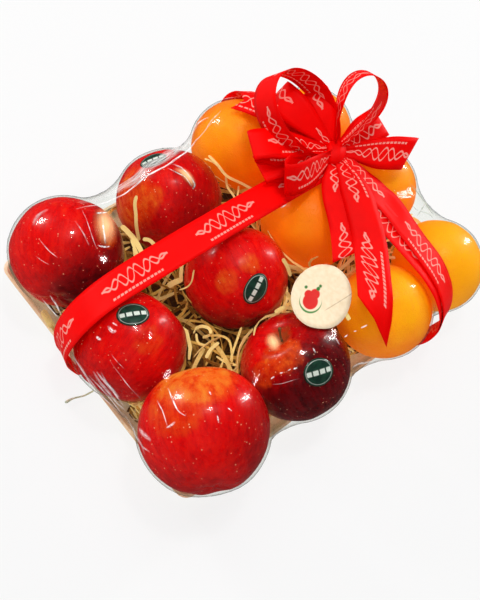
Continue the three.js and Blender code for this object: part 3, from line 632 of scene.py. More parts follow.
# Shreds that show between the fruit: width, paleness and the points each one passes
SHOWN_STRAWS = [
    (2.4, 0.95, [(-64, 76, 73), (-67, 73, 69), (-69, 68, 64), (-71, 63, 57), (-70, 58, 44)]),
    (3.6, 1.0, [(-74, 74, 45), (-73, 67, 45), (-73, 58, 45), (-76, 44, 45)]),
    (2.2, 0.9, [(-77, 55, 45), (-80, 50, 45), (-84, 43, 45)]),
    (2.7, 0.95, [(-70, 55, 50), (-67, 51, 51), (-66, 45, 50), (-66, 39, 50)]),
    (2.1, 1, [(-75, 61, 45), (-78, 51, 45), (-81, 43, 45)]),
    (4, 0.9, [(-76, 17, 45), (-71, 17, 45), (-65, 16, 45)]),
    (1.0, 1, [(-76, 7, 55), (-70, 6, 55), (-67, 6, 61), (-63, 10, 66)]),
    (2.0, 0.95, [(12, 83, 60), (13, 74, 59), (16, 64, 54), (24, 55, 50), (30, 42, 50)]),
    (1.3, 0.9, [(10, 84, 56), (12, 78, 58), (13, 73, 58)]),
    (1.7, 0.95, [(16, 65, 53), (16, 60, 45), (15, 52, 45), (13, 44, 45)]),
    (1.3, 0.9, [(24, 56, 45), (19, 51, 45), (13, 46, 45)]),
    (2.2, 1, [(-86, -23, 50), (-83, -21, 50), (-78, -22, 50), (-75, -26, 50), (-77, -30, 50),
        (-83, -29, 50)]),
    (1.6, 0.7, [(-77, -30, 48), (-71, -34, 48), (-68, -40, 48), (-72, -48, 48), (-77, -54, 48)]),
    (2.4, 0.9, [(-89, -41, 46), (-82, -38, 46), (-74, -37, 46)]),
    (1.6, 0.75, [(-78, -53, 50), (-71, -48, 50), (-63, -43, 50), (-55, -38, 50)]),
    (1.6, 0.8, [(-83, -23, 46), (-86, -29, 46), (-83, -34, 46)]),
    (2.6, 1, [(-34, -45, 62), (-26, -46, 62), (-25, -52, 69)]),
    (2.6, 1, [(-19, -39, 67), (-18, -44, 62), (-28, -54, 73)]),
    (2.6, 0.95, [(-12, -21, 80), (-10, -26, 75), (-8, -31, 67)]),
    (2.4, 0.9, [(30, -46, 62), (39, -45, 62), (49, -44, 62)]),
    (2.2, 0.9, [(76, -44, 62), (75, -50, 62), (72, -54, 62)]),
    (2.2, 0.9, [(66, -55, 62), (70, -58, 62), (75, -62, 62)]),
    (5, 0.9, [(-150, 58, 20), (-151, 48, 19), (-146, 45, 3)]),
    (3.0, 1.0, [(0.2, -72.5, 79.6), (-1.5, -76.5, 79), (-2, -79.5, 78.5), (-2.4, -82.3, 77.7)]),
]
TO_VIEWER = (-0.4766, -0.2284, 0.8489)
for wide, pale, path in SHOWN_STRAWS:
    line = eased(path, 5 * len(path))
    for _ in range(3):
        line = off_the_fruit(line, SHOWN_GAPS[0])
    line = under_film(line, SHOWN_GAPS[1])
    lay_shred(line, wide, np.cross(line[-1] - line[0], TO_VIEWER), 0.3, pale)

# The corners of the tray between two fruits are stuffed with pale new shreds
WEDGES = [(-68, -91), (-56, -92), (-2, -91), (8, -92), (78, -92), (-139, -36), (-138, -46), (-139, 38)]
WEDGE_SHREDS = 11
for wx, wy in WEDGES:
    for _ in range(WEDGE_SHREDS):
        turn = straw_chance.gauss(0 if abs(wy) > 80 else math.pi / 2, 0.5)
        middle = np.array([
            wx + straw_chance.gauss(0, 5), wy + straw_chance.gauss(0, 2.5), straw_chance.uniform(14, 34)
        ])
        half = straw_chance.uniform(6, 13)
        bend = straw_chance.uniform(-0.5, 0.5)
        line = []
        for t in np.linspace(-1, 1, 9):
            way = turn + bend * t
            line.append(middle + half * t * np.array([math.cos(way), math.sin(way), 0.25 * bend]))
        line = np.array(line)
        for _ in range(4):
            line = off_the_fruit(line, WEDGE_GAPS[0])
            line[:, :2] = np.clip(line[:, :2], -INSIDE, INSIDE)
        line = under_film(line, WEDGE_GAPS[1])
        slip = np.abs(off_the_fruit(line.copy(), 1.2) - line).max()
        if slip < STRAW_SLIP and line[:, 2].min() > 6:
            wide = straw_chance.uniform(1.2, 2.2)
            lay_shred(line, wide, (0.3, -0.3, 1), straw_chance.uniform(-1, 1), 0.95)

straw = new_piece("straw_shreds", np.array(straw_points) * MM, straw_faces)
mark(straw, "tone", straw_tone_and_shade)

# Straw: split dry stems, cream up high and brown-gold low down, where the darker tone is painted
# shade in the heap; a faint glow in their own colour is painted light.
straw_dry, tree, shader = new_finish("straw_dry", Roughness=0.62, Specular_IOR_Level=0.15)
tone = add_node(tree, "Attribute", attribute_name="tone", give="Fac")
grain = add_fleck(tree, 700.0, 2.0)
tone = add_node(tree, "Math.MULTIPLY_ADD", grain, 0.3, tone)
colour = add_node(
    tree, "ValToRGB", tone, stops=[(0.1, "4A2A0A"), (0.4, "94601E"), (0.75, "EDBC5C"), (1.0, "FFE090")]
)
bump = add_node(tree, "Bump", Strength=0.3, Distance=0.0002, Height=grain)
fill(shader, {"Base Color": colour, "Emission Color": colour, "Emission Strength": 0.1, "Normal": bump})
wear(straw, straw_dry)
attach(straw, "root")
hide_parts("straw_bed")


# 5. Film. Clear shrink film, about 0.05 mm thick, drawn down over the heap and under the tray's
# edge. A grid with its rim pulled down is relaxed like a taut skin that the fruit holds up.
TRAY_HALF = (148.5, 102.0)
TRAY_LEAN = 4.5
TRAY_HEIGHT = 14.0
FILM_OFF = 1.1
FILM_FOOT = 3.2
FILM_TOP = 92.0
FILM_BOX = (165.0, 118.0)
FILM_CELLS = (24, 17, 6)
FILM_CORNER = 5.0
FILM_THICK = 0.05
FILM_SEED = 11
# Gap off the fruit and number of steps for each fineness of the sheet
FILM_ROUNDS = [(2.0, 400), (1.4, 150), (1.2, 70)]


def onto_outline(points, half, level):
    """Moves points in to the tray's outline, with small round corners, at one level."""
    half = np.array(half)
    flat = points[:, :2] * half / np.array(FILM_BOX)
    inner = np.clip(flat, FILM_CORNER - half, half - FILM_CORNER)
    away = flat - inner
    away *= FILM_CORNER / np.maximum(np.linalg.norm(away, axis=1), 1e-9)[:, None]
    return np.column_stack([inner + away, np.full(len(points), level)])


def relaxed(points, ends, held, gap, steps):
    """Each free point goes to the mean of its neighbours, then out of the fruit."""
    share = np.bincount(ends.ravel(), minlength=len(points))
    for _ in range(steps):
        total = np.zeros_like(points)
        for axis in range(3):
            total[:, axis] += np.bincount(ends[:, 0], points[ends[:, 1], axis], len(points))
            total[:, axis] += np.bincount(ends[:, 1], points[ends[:, 0], axis], len(points))
        moved = off_the_fruit(total / share[:, None], gap, 0.94)
        points = np.where(held[:, None], points, moved)
    return points


def cut_finer(cuts):
    """Cuts every edge of the active piece."""
    bpy.ops.object.mode_set(mode="EDIT")
    bpy.ops.mesh.select_all(action="SELECT")
    bpy.ops.mesh.subdivide(number_cuts=cuts)
    bpy.ops.object.mode_set(mode="OBJECT")


def ends_of(piece):
    flat = np.zeros(len(piece.data.edges) * 2, np.int32)
    piece.data.edges.foreach_get("vertices", flat)
    return flat.reshape(-1, 2)


deselect()
bpy.ops.mesh.primitive_grid_add(
    x_subdivisions=FILM_CELLS[0], y_subdivisions=FILM_CELLS[1], size=2, location=(0, 0, FILM_TOP * MM)
)
film = bpy.context.object
film.name = "film_skin"
film.scale = (FILM_BOX[0] * MM, FILM_BOX[1] * MM, 1)
bpy.ops.object.transform_apply(location=True, rotation=True, scale=True)
bpy.ops.object.mode_set(mode="EDIT")
bpy.ops.mesh.select_all(action="SELECT")
bpy.ops.mesh.region_to_loop()
for _ in range(FILM_CELLS[2]):
    down = (FILM_FOOT - FILM_TOP) * MM / FILM_CELLS[2]
    bpy.ops.mesh.extrude_region_move(TRANSFORM_OT_translate={"value": (0, 0, down)})
turn_faces_out()

sheet = places_of(film) / MM
row = np.round((sheet[:, 2] - FILM_FOOT) / ((FILM_TOP - FILM_FOOT) / FILM_CELLS[2]))
for index, level in enumerate((FILM_FOOT, TRAY_HEIGHT + FILM_OFF)):
    lean = TRAY_LEAN * (1 - level / TRAY_HEIGHT)
    half = [side - lean + FILM_OFF for side in TRAY_HALF]
    sheet[row == index] = onto_outline(sheet[row == index], half, level)
FOOT_LEVEL = TRAY_HEIGHT + FILM_OFF + 0.2
for number, (gap, steps) in enumerate(FILM_ROUNDS):
    if number:
        cut_finer(1)
        sheet = places_of(film) / MM
    sheet = relaxed(sheet, ends_of(film), sheet[:, 2] < FOOT_LEVEL, gap, steps)
    set_places(film, sheet * MM)


def thicken(piece, name, thick):
    """Gives the active piece's sheet a thickness in millimetres, half to each side."""
    body = piece.modifiers.new(name, "SOLIDIFY")
    body.thickness = thick * MM
    body.offset = 0
    bpy.ops.object.modifier_apply(modifier=body.name)


def ridge(point, size, stretch, seed):
    """Thin raised folds: highest where a stretched noise passes through zero."""
    at = Vector(point * stretch) / size
    value = noise.noise(at + Vector((seed, 0, 0)) + 0.5 * noise.noise_vector(at * 0.6))
    return max(0.0, 1 - abs(value) * 6) ** 2


# Slack shows as fine folds: long ones down the sides, short ones where the film bridges a hollow.
# Noise that gives a vector is seeded by the clock unless a seed is set.
noise.seed_set(FILM_SEED)
facing = np.zeros(len(sheet) * 3, np.float32)
film.data.vertices.foreach_get("normal", facing)
facing = facing.reshape(-1, 3).astype(float)
clear = np.full(len(sheet), 60.0)
for radius, centre, stem, share in ALL_FRUIT:
    clear = np.minimum(clear, np.linalg.norm(sheet - np.array(centre), axis=1) - radius)
for i, p in enumerate(sheet):
    slack = min(1.0, 0.25 + max(0.0, clear[i] - 1.5) / 7)
    steep = 1 - abs(facing[i][2])
    lift = 0.5 * ridge(p, 26, (1, 1, 0.35), 3) * steep + 0.45 * ridge(p, 15, (1, 0.6, 0.6), 9)
    if p[2] < TRAY_HEIGHT + 3:
        lift *= 0.3
    sheet[i] += facing[i] * lift * slack
set_places(film, sheet * MM)
film_tree = surface_of(film)
thicken(film, "film_wall", FILM_THICK)

# Clear film: a see-through sheet whose edge-on parts turn white, with sharp window reflections
# that the fine slack breaks into streaks.
clear_film, tree = new_clear("clear_shrink_film")
place = add_node(tree, "TexCoord", give="Object")
drawn = add_node(tree, "Mapping", Vector=place, Scale=(60.0, 60.0, 34.0))
slack = add_node(tree, "TexNoise", Vector=drawn, Scale=1.0, Detail=3.0, Distortion=1.2)
fine = add_node(tree, "TexNoise", Vector=place, Scale=320.0, Detail=2.0, Distortion=0.8)
ripple = add_node(tree, "Math.MULTIPLY_ADD", fine, 0.16, slack)
bump = add_node(tree, "Bump", Strength=0.35, Distance=0.0012, Height=ripple)
gloss = add_node(tree, "BsdfGlossy", Roughness=0.07, Normal=bump)
through = add_node(tree, "BsdfTransparent", Color=linear("FDFEFD"))
facing = add_node(tree, "LayerWeight", Blend=0.5, Normal=bump, give="Facing")
edge_on = add_node(tree, "Math.POWER", facing, 7.0)
edge_on = add_node(tree, "Math.MULTIPLY_ADD", edge_on, 0.45, 0.012)
mixed = add_node(tree, "MixShader", edge_on, through, gloss)
fill(tree.nodes["Material Output"], {"Surface": mixed})
wear(film, clear_film)
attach(film, "root")
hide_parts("film")

# Folds of gathered film and painted highlights on it (window glints, dashes and arcs), drawn as low
# ridges on the sheet: width, whiteness, how green-grey, and the points each one passes. They are
# palest along the crest and fade out at both ends.
FOLDS_AND_HIGHLIGHTS = [
    (1.9, 0.85, 0.1, [(-113, 81, 88), (-98, 80, 82), (-82, 80, 76), (-70, 80, 76), (-55, 82, 80),
        (-46, 80, 84), (-35, 79, 87), (-17, 83, 83), (4, 93, 70), (20, 98, 71), (28, 98, 76)]),
    (1.9, 0.5, 0.3, [(-96, 87, 78), (-76, 91, 67), (-63, 90, 71), (-52, 88, 78)]),
    (1.9, 0.75, 0.1, [(15, 108, 50), (21, 110, 59), (25, 107, 68), (27, 104, 72)]),
    (2.6, 0.5, 0.2, [(-24, 87, 84), (1, 100, 62), (15, 106, 58), (22, 108, 63)]),
    (1.2, 0.55, 0.1, [(17, 98, 70), (24, 100, 73), (31, 101, 77), (35, 102, 78)]),
    (11.0, 0.5, 0.3, [(-107, 85, 85), (-87, 87, 74), (-71, 87, 71), (-59, 86, 76), (-46, 87, 82),
        (-33, 86, 85), (-13, 91, 76), (12, 105, 58), (24, 111, 61), (35, 114, 67)]),
    (1.7, 0.5, 0.2, [(40, 118, 61), (48, 114, 69), (60, 109, 71)]),
    (4.0, 0.25, 0.1, [(-141, 88, 81), (-135, 92, 82), (-127, 92, 85)]),
    (0.7, 0.6, 0, [(-144, 77, 82), (-144, 68, 82), (-141, 60, 80)]),
    (0.5, 0.4, 0, [(-151, 71, 76), (-149, 65, 76), (-147, 61, 76)]),
    (0.7, 0.5, 0, [(-110, 79, 88), (-115, 63, 87), (-118, 50, 84)]),
    (1.2, 0.3, 0, [(-120, 73, 89), (-120, 64, 88), (-121, 55, 85)]),
    (2.2, 0.9, 0, [(-102, 73, 85), (-98, 72, 83), (-94, 71, 82)]),
    (2.2, 0.95, 0, [(-99, 71, 84), (-104, 63, 85), (-108, 56, 85), (-111, 51, 84)]),
    (1.5, 0.95, 0, [(-116, 53, 84), (-113, 50, 84), (-109, 48, 84)]),
    (1.1, 0.6, 0, [(-39, 77, 87), (-36, 70, 88), (-33, 64, 87), (-33, 56, 86)]),
    (2.2, 0.5, 0, [(-34, 78, 87), (-31, 72, 88), (-30, 65, 87), (-30, 57, 86), (-34, 54, 86)]),
    (4.0, 0.36, 0, [(-163, -11, 61), (-161, -21, 54), (-158, -32, 47), (-158, -42, 50)]),
    (2.0, 0.3, 0, [(-160, -15, 64), (-159, -24, 58), (-158, -34, 55)]),
    (0.6, 0.45, 0, [(-154, -14, 73), (-153, -24, 69), (-153, -35, 68), (-154, -47, 73)]),
    (0.5, 0.35, 0, [(-152, -12, 76), (-151, -18, 74), (-150, -24, 73)]),
    (2.3, 0.75, 0, [(-152, 3, 75), (-152, -1, 77)]),
    (2.8, 0.65, 0, [(-144, 3, 81), (-144, -2, 82), (-142, -3, 83)]),
    (1.3, 0.6, 0, [(-141, 3, 83), (-140, -1, 84)]),
    (4.0, 0.5, 0.2, [(-163, 11, 51), (-165, -4, 53), (-163, -15, 43), (-157, -24, 30), (-155, -36, 27)]),
    (2.8, 0.55, 0.05, [(-165, -6, 53), (-163, -17, 45), (-154, -27, 24), (-152, -43, 19)]),
    (4.0, 0.45, 0.2, [(-158, -39, 42), (-160, -51, 47), (-168, -66, 65), (-171, -75, 65)]),
    (1.0, 0.75, 0, [(-151, -55, 86), (-154, -64, 90), (-158, -73, 91)]),
    (1.2, 0.85, 0, [(-142, -54, 90), (-146, -62, 94), (-149, -70, 97), (-148, -76, 99)]),
    (1.9, 0.5, 0, [(-159, -73, 90), (-156, -74, 92), (-154, -74, 95)]),
    (1.2, 0.85, 0, [(-128, -72, 102), (-129, -75, 103)]),
    (1.2, 0.9, 0, [(-134, -87, 103), (-136, -91, 102)]),
    (3.9, 0.4, 0, [(-165, -59, 68), (-167, -67, 75), (-167, -72, 78)]),
    (1.7, 0.35, 0, [(-169, -69, 66), (-170, -76, 72)]),
    (1.0, 0.7, 0, [(-126, -87, 104), (-125, -90, 103)]),
    (0.8, 0.35, 0, [(-117, -89, 102), (-107, -89, 98)]),
    (1.2, 0.95, 0, [(-82, -85, 85), (-78, -85, 85)]),
    (1.0, 0.95, 0, [(-74, -85, 84), (-71, -86, 84)]),
    (0.9, 0.95, 0, [(-68, -87, 84), (-65, -87, 84)]),
    (1.3, 0.95, 0, [(-64, -88, 84), (-61, -89, 84)]),
    (0.5, 0.3, 0, [(-83, -88, 84), (-76, -91, 82), (-63, -95, 81)]),
    (1.4, 0.85, 0, [(-45, -85, 88), (-46, -89, 88)]),
    (1.9, 0.6, 0, [(-28, -85, 86), (-25, -88, 84), (-25, -93, 83)]),
    (1.1, 0.9, 0, [(-16, -90, 79), (-11, -90, 78)]),
    (1.0, 0.9, 0, [(-5, -90, 76), (-2, -91, 75)]),
    (1.3, 0.95, 0, [(2, -91, 75), (8, -92, 75)]),
    (2.2, 0.6, 0.2, [(6, -108, 32), (14, -111, 38), (26, -116, 38), (32, -120, 41)]),
    (2.5, 0.5, 0.1, [(-21, -108, 69), (3, -109, 50), (18, -113, 42)]),
    (4.0, 0.8, 1, [(124, -24, 74), (128, -32, 69), (128, -42, 67), (122, -54, 72)]),
    (1.2, 0.7, 1, [(125, -42, 69), (113, -46, 74), (105, -48, 76)]),
    (2.1, 0.7, 1, [(113, -46, 74), (118, -51, 72), (118, -56, 73)]),
    (1.8, 0.6, 1, [(110, -39, 75), (111, -45, 75)]),
    (1.5, 0.9, 0, [(12, 10, 84), (18, 10, 84)]),
    (3.4, 0.5, 0, [(-163, -13, 63), (-161, -22, 59), (-159, -33, 53), (-158, -39, 52)]),
    (3.0, 0.45, 0, [(-166, -10, 55), (-164, -22, 49), (-161, -32, 41), (-159, -43, 40)]),
    (2.6, 0.7, 0.2, [(-160, 53, 49), (-158, 46, 46), (-158, 37, 47)]),
    (2.6, 0.65, 0.2, [(-156, 49, 58), (-156, 42, 55), (-156, 36, 52)]),
]
# Soft wide glows: painted warm reflections of a window on the film, laid on it as wide folds
GLOWS = [
    (19.0, 0.75, [(-93, 77, 81), (-100, 66, 84), (-106, 57, 84), (-112, 50, 83)]),
    (9.0, 0.8, [(-36, 74, 87), (-32, 68, 88), (-31, 60, 87), (-33, 55, 86)]),
    (13.0, 0.8, [(-62, -60, 82), (-64, -66, 82), (-66, -73, 82)]),
]
FOLDS_AND_HIGHLIGHTS += [(wide, white, -1, path) for wide, white, path in GLOWS]
# A fold's section: place across, height and how strongly it shows
FOLD_SHAPE = [
    (-1.0, 0.0, 0.0), (-0.7, 0.3, 0.45), (-0.4, 0.7, 0.8), (0.0, 1.0, 1.0),
    (0.4, 0.7, 0.8), (0.7, 0.3, 0.45), (1.0, 0.0, 0.0), (0.0, -0.1, 0.0),
]
FOLD_RISE = 0.3
FOLD_OFF = 0.12
fold_points, fold_faces, fold_show, fold_grey, fold_run = [], [], [], [], []
for number, (wide, white, grey, path) in enumerate(FOLDS_AND_HIGHLIGHTS):
    count = 6 * len(path)
    fall = 2.6 if grey < 0 else 1
    line = []
    for at in eased(path, count):
        place, out = film_tree.find_nearest(Vector(at) * MM)[:2]
        line.append((np.array(place) / MM, np.array(out)))
    ahead = np.gradient(np.array([at for at, out in line]), axis=0)
    first = len(fold_points)
    for i, ((at, out), way) in enumerate(zip(line, ahead)):
        share = i / (count - 1)
        body = math.sin(math.pi * min(1.0, max(0.02, share))) ** 0.6
        side = np.cross(way, out)
        side /= max(np.linalg.norm(side), 1e-9)
        for across, rise, show in FOLD_SHAPE:
            reach = side * across * wide / 2 * (0.35 + 0.65 * body)
            fold_points.append(at + reach + out * (FOLD_OFF + FOLD_RISE * rise * body))
            fold_show.append(min(1.0, white * 1.25) * (show * body) ** fall)
            fold_grey.append(grey)
            fold_run.append((i * 0.22, across * wide / 2.4, number * 3.7))
    fold_faces += tube_faces(first, len(FOLD_SHAPE), count)
folds_and_highlights = new_piece("film_folds_and_highlights", np.array(fold_points) * MM, fold_faces)
mark(folds_and_highlights, "show", fold_show)
mark(folds_and_highlights, "grey", fold_grey)
mark(folds_and_highlights, "run", fold_run, "FLOAT_VECTOR")
turn_faces_out()

# Gathered film scatters light: milky along the crest, broken into fine lengths by its pleats. Its
# whiteness and faint glow are painted highlights, the warm tint of the glows is a painted reflection
# of a window, and the green-grey is a painted reflection of dark surroundings.
fold_highlight_finish, tree = new_clear("film_fold_painted_highlight")
show = add_node(tree, "Attribute", attribute_name="show", give="Fac")
grey = add_node(tree, "Attribute", attribute_name="grey", give="Fac")
run = add_node(tree, "Attribute", attribute_name="run", give="Vector")
pleat = add_node(tree, "TexNoise", Vector=run, Scale=1.3, Detail=3.0)
pleat = add_node(tree, "MapRange", pleat, 0.36, 0.62, 0.2, 1.15)
smooth = add_node(tree, "Math.MULTIPLY", grey, -1.0)
pleat = add_node(tree, "Math.MAXIMUM", pleat, smooth)
milk_and_highlight = add_node(tree, "Math.MULTIPLY", show, pleat, use_clamp=True)
grey = add_node(tree, "Math.MULTIPLY_ADD", grey, 0.5, 0.5)
tint = add_node(tree, "ValToRGB", grey, stops=[(0.0, "FFC08A"), (0.5, "FBF5F6"), (1.0, "98A08C")])
veil = add_node(tree, "BsdfDiffuse", Color=tint)
# The folds' emission is painted light.
glint = add_node(tree, "Emission", Color=tint, Strength=0.45)
veil = add_node(tree, "AddShader", veil, glint)
through = add_node(tree, "BsdfTransparent", Color=linear("FEFEFE"))
mixed = add_node(tree, "MixShader", milk_and_highlight, through, veil)
fill(tree.nodes["Material Output"], {"Surface": mixed})
wear(folds_and_highlights, fold_highlight_finish)
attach(folds_and_highlights, "root")


# 6. Ribbon bands. Red acetate satin ribbon 24 mm wide, taut round the pack, one along it and one
# across on top, printed in pale pink with a scroll and a dashed rule. Each is a closed strip.
RIBBON_WIDTH = 24.0
RIBBON_THICK = 0.32
WRAP_MIDDLE = 40.0
WRAP_RAYS = 720
ACROSS_STATIONS = 9
# The print, in metres: how often it comes again, and its scroll, lines, dashes, rule and ribs
PRINT_REPEAT = 0.078
SCROLL_LENGTH, SCROLL_END = 0.054, 0.0535
SCROLL_SWELL, SCROLL_WAVE, SCROLL_OFF = 0.0052, 0.0130, 0.0018
SCROLL_SHIFTS = (0.0, 2.3)
LINE_FULL, LINE_GONE = 0.0005, 0.0009
DASH_STEP, DASH_LENGTH = 0.0028, 0.002
RULE_LEVEL, RULE_HALF = 0.0072, 0.0008
RULE_START, RULE_END = 0.009, 0.047
PRINT_STRENGTH = 0.72
RIB_STEP = 0.0004


def ribbon(name, rows, start, closed=False):
    """A strip of cloth from rows of points across it; its map holds metres along and across."""
    rows = np.array(rows, float)
    count, wide = rows.shape[:2]
    middle = rows[:, wide // 2]
    along = start + run_of(np.concatenate([middle, middle[:1]]) if closed else middle)
    faces, corners = [], []
    for k in range(count if closed else count - 1):
        low, high = k * wide, ((k + 1) % count) * wide
        for i in range(wide - 1):
            faces.append((low + i, low + i + 1, high + i + 1, high + i))
            corners += [(k, i), (k, i + 1), (k + 1, i + 1), (k + 1, i)]
    strip = new_piece(name, rows.reshape(-1, 3) * MM, faces)
    chart = strip.data.uv_layers.new(name="ribbon_map")
    for loop, (k, i) in enumerate(corners):
        chart.data[loop].uv = (along[k] * MM, (i / (wide - 1) - 0.5) * RIBBON_WIDTH * MM)
    bpy.ops.object.shade_smooth()
    thicken(strip, "cloth_body", RIBBON_THICK)
    wear(strip, satin)
    return strip, (along[-1] - start) * MM


# Printed satin: red acetate with a soft sheen and fine ribs 0.4 mm apart along it, printed in pale
# pink with two lines that cross in a scroll, and a dashed rule near one edge.
satin, tree, shader = new_finish("printed_satin", Roughness=0.5, Specular_IOR_Level=0.08)
chart = add_node(tree, "UVMap", uv_map="ribbon_map")
parts = add_node(tree, "SeparateXYZ", chart, give=None)
along, across = parts.outputs[0], parts.outputs[1]
turns = add_node(tree, "Math.DIVIDE", along, PRINT_REPEAT)
turn = add_node(tree, "Math.FRACT", turns)
cell = add_node(tree, "Math.MULTIPLY", turn, PRINT_REPEAT)
swell = add_node(tree, "Math.MULTIPLY", cell, math.pi / SCROLL_LENGTH)
swell = add_node(tree, "Math.SINE", swell)
swell = add_node(tree, "Math.MULTIPLY", swell, SCROLL_SWELL)
masks = []
for shift in SCROLL_SHIFTS:
    wave = add_node(tree, "Math.MULTIPLY_ADD", cell, 2 * math.pi / SCROLL_WAVE, shift)
    wave = add_node(tree, "Math.SINE", wave)
    wave = add_node(tree, "Math.MULTIPLY_ADD", wave, swell, SCROLL_OFF)
    masks.append(add_line(tree, across, wave, LINE_FULL, LINE_GONE))
scroll = add_node(tree, "Math.MAXIMUM", masks[0], masks[1])
until = add_node(tree, "Math.LESS_THAN", cell, SCROLL_END)
scroll = add_node(tree, "Math.MULTIPLY", scroll, until)
dash = add_node(tree, "Math.MODULO", cell, DASH_STEP)
dash = add_node(tree, "Math.LESS_THAN", dash, DASH_LENGTH)
low = add_node(tree, "Math.ADD", across, RULE_LEVEL)
low = add_node(tree, "Math.ABSOLUTE", low)
low = add_node(tree, "Math.LESS_THAN", low, RULE_HALF)
near = add_node(tree, "Math.GREATER_THAN", cell, RULE_START)
rule = add_node(tree, "Math.MULTIPLY", dash, low)
rule = add_node(tree, "Math.MULTIPLY", rule, near)
far = add_node(tree, "Math.LESS_THAN", cell, RULE_END)
rule = add_node(tree, "Math.MULTIPLY", rule, far)
print_mask = add_node(tree, "Math.MAXIMUM", scroll, rule)
print_mask = add_node(tree, "Math.MULTIPLY", print_mask, PRINT_STRENGTH)
rib = add_node(tree, "Math.MULTIPLY", along, 2 * math.pi / RIB_STEP)
rib = add_node(tree, "Math.SINE", rib)
cloud = add_fleck(tree, 55.0, 3.0)
red = add_node(tree, "ValToRGB", cloud, stops=[(0.35, "F40000"), (0.65, "FF0100")])
cloth = add_node(tree, "Mix.RGBA", print_mask, red, linear("FFB4A6"))
bump = add_node(tree, "Bump", Strength=0.12, Distance=0.0001, Height=rib)
fill(shader, {"Base Color": cloth, "Normal": bump})


def interpolated(wanted, known, values):
    """Rows of values at the wanted places, straight between the known ones."""
    values = np.asarray(values, float)
    flat = values.reshape(len(values), -1)
    made = np.array([np.interp(wanted, known, column) for column in flat.T]).T
    return made.reshape(-1, *values.shape[1:])


def band_rows(node, axis, centre, count):
    """Rows of points round a taut band, halfway through the CAD band's thickness."""
    tree = surface_of(nodes[node])
    angles = np.linspace(0, 2 * math.pi, WRAP_RAYS, endpoint=False) - math.pi / 2
    edge = RIBBON_WIDTH / 2 - 0.1
    columns = []
    for at in np.linspace(-edge, edge, ACROSS_STATIONS) + centre:
        middle = Vector((0, at, WRAP_MIDDLE) if axis == "y" else (at, 0, WRAP_MIDDLE))
        column = []
        for angle in angles:
            out, up = math.cos(angle), math.sin(angle)
            way = Vector((out, 0, up) if axis == "y" else (0, out, up))
            inner = tree.ray_cast(middle * MM, way)[0]
            column.append(np.array(inner + way * 0.35 * MM) / MM)
        columns.append(column)
    rows = np.array(columns).transpose(1, 0, 2)
    looped = np.concatenate([rows, rows[:1]])
    far = run_of(looped[:, ACROSS_STATIONS // 2])
    wanted = np.linspace(0, far[-1], count, endpoint=False)
    made = interpolated(wanted, far, looped)
    for _ in range(3):
        made = (np.roll(made, 1, axis=0) + 2 * made + np.roll(made, -1, axis=0)) / 4
    return made


# Node, the axis on which the band keeps its place, that place, its rows and where its print starts
BANDS = [("band_along", "y", 21.0, 260, 18.0), ("band_across", "x", 73.0, 220, 0.0)]
for name, axis, centre, count, start in BANDS:
    rows = band_rows(name, axis, centre, count)
    if axis == "x":
        rows = rows[:, ::-1]
    band, length = ribbon(f"{name}_ribbon", rows, start, closed=True)
    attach(band, "root")
    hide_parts(name)


# 7. Bow. The same ribbon gathered in one knot on the crossing: nine loops of different sizes and
# four tails, which lie over the fruit; one goes on down the near side. Narrow where it is tied.
KNOT = Vector((75, 23, 94))
# Reach from the knot, the way across the ribbon, girth, slant of the far end and fullness
LOOPS = [
    ((36, 18, 45), (-0.56, -0.62, 0.56), 29, 0, 1),
    ((49.7, -32.9, 1.4), (-0.55, -0.676, -0.49), 9, -7, 1),
    ((43, -2, 10), (-0.29, -0.87, -0.4), 8, 0, 1),
    ((-33.4, 54.3, 37.9), (0.17, -0.66, 0.73), 51, 0, 1.7),
    ((-15, 56, 13), (0.86, 0.08, 0.5), 18, 0, 1),
    ((8, 43, 16), (0.86, -0.3, 0.4), 14, 0, 1),
    ((-62.7, 29.3, 13), (0.55, 0.8, 0.05), 11, 0, 1),
    ((-60, 17, -2), (0.4, 0.9, 0), 5, 0, 1),
    ((-58, -5, 11), (-0.37, 0.39, 0.84), 14, 0, 1),
]
LOOP_STEPS = 56
LOOP_PINCH = 0.3
TAIL_PINCH = 0.35
TAIL_STEP = 13.0
TAIL_GAP = 0.8
TAIL_SAG = 0.1
SLICE_REACH = 0.3
SHIFTS = np.linspace(-1, 1, 7)


def half_width(pinch, share):
    """Half width of the ribbon at a share of its way out of the knot."""
    return RIBBON_WIDTH / 2 * (pinch + (1 - pinch) * float(smoothed(share)))


def loop_rows(reach, across, girth, slant, fullness):
    """Rows of a loop that leaves the knot, turns and comes back. Fullness 1 is slim, 2 a round hoop."""
    way = Vector(reach)
    length = way.length
    way.normalize()
    wide = Vector(across)
    wide = (wide - way * way.dot(wide)).normalized()
    off = wide.cross(way)
    rows = []
    for i in range(LOOP_STEPS + 1):
        t = 0.03 + 0.94 * i / LOOP_STEPS
        sweep = math.sin(math.pi * t)
        far = sweep ** fullness
        half = half_width(LOOP_PINCH, sweep / 0.75)
        gather = 1 - min(1.0, sweep / 0.6)
        row = []
        for shift in SHIFTS:
            crease = 0.9 * gather * math.sin(shift * 7)
            middle = off * (-girth / 2 * math.sin(2 * math.pi * t) + crease)
            row.append(KNOT + way * far * (length + slant * shift) + middle + wide * half * shift)
        rows.append(row)
    return rows


for number, shape in enumerate(LOOPS, 1):
    loop, length = ribbon(f"bow_loop_{number}", loop_rows(*shape), 11.0 * number)
    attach(loop, "root")

under_bow = [surface_of(nodes[name]) for name in ("film", "band_along", "band_across")]
PROBES = [(0, 0), (4, 0), (-4, 0), (0, 4), (0, -4), (3, 3), (3, -3), (-3, 3), (-3, -3)]


def ground_at(x, y):
    """Highest surface under a small patch round a point, in millimetres."""
    level = 0.0
    for dx, dy in PROBES:
        for tree in under_bow:
            hit = top_at(tree, x + dx, y + dy)
            if hit:
                level = max(level, hit.z / MM)
    return level


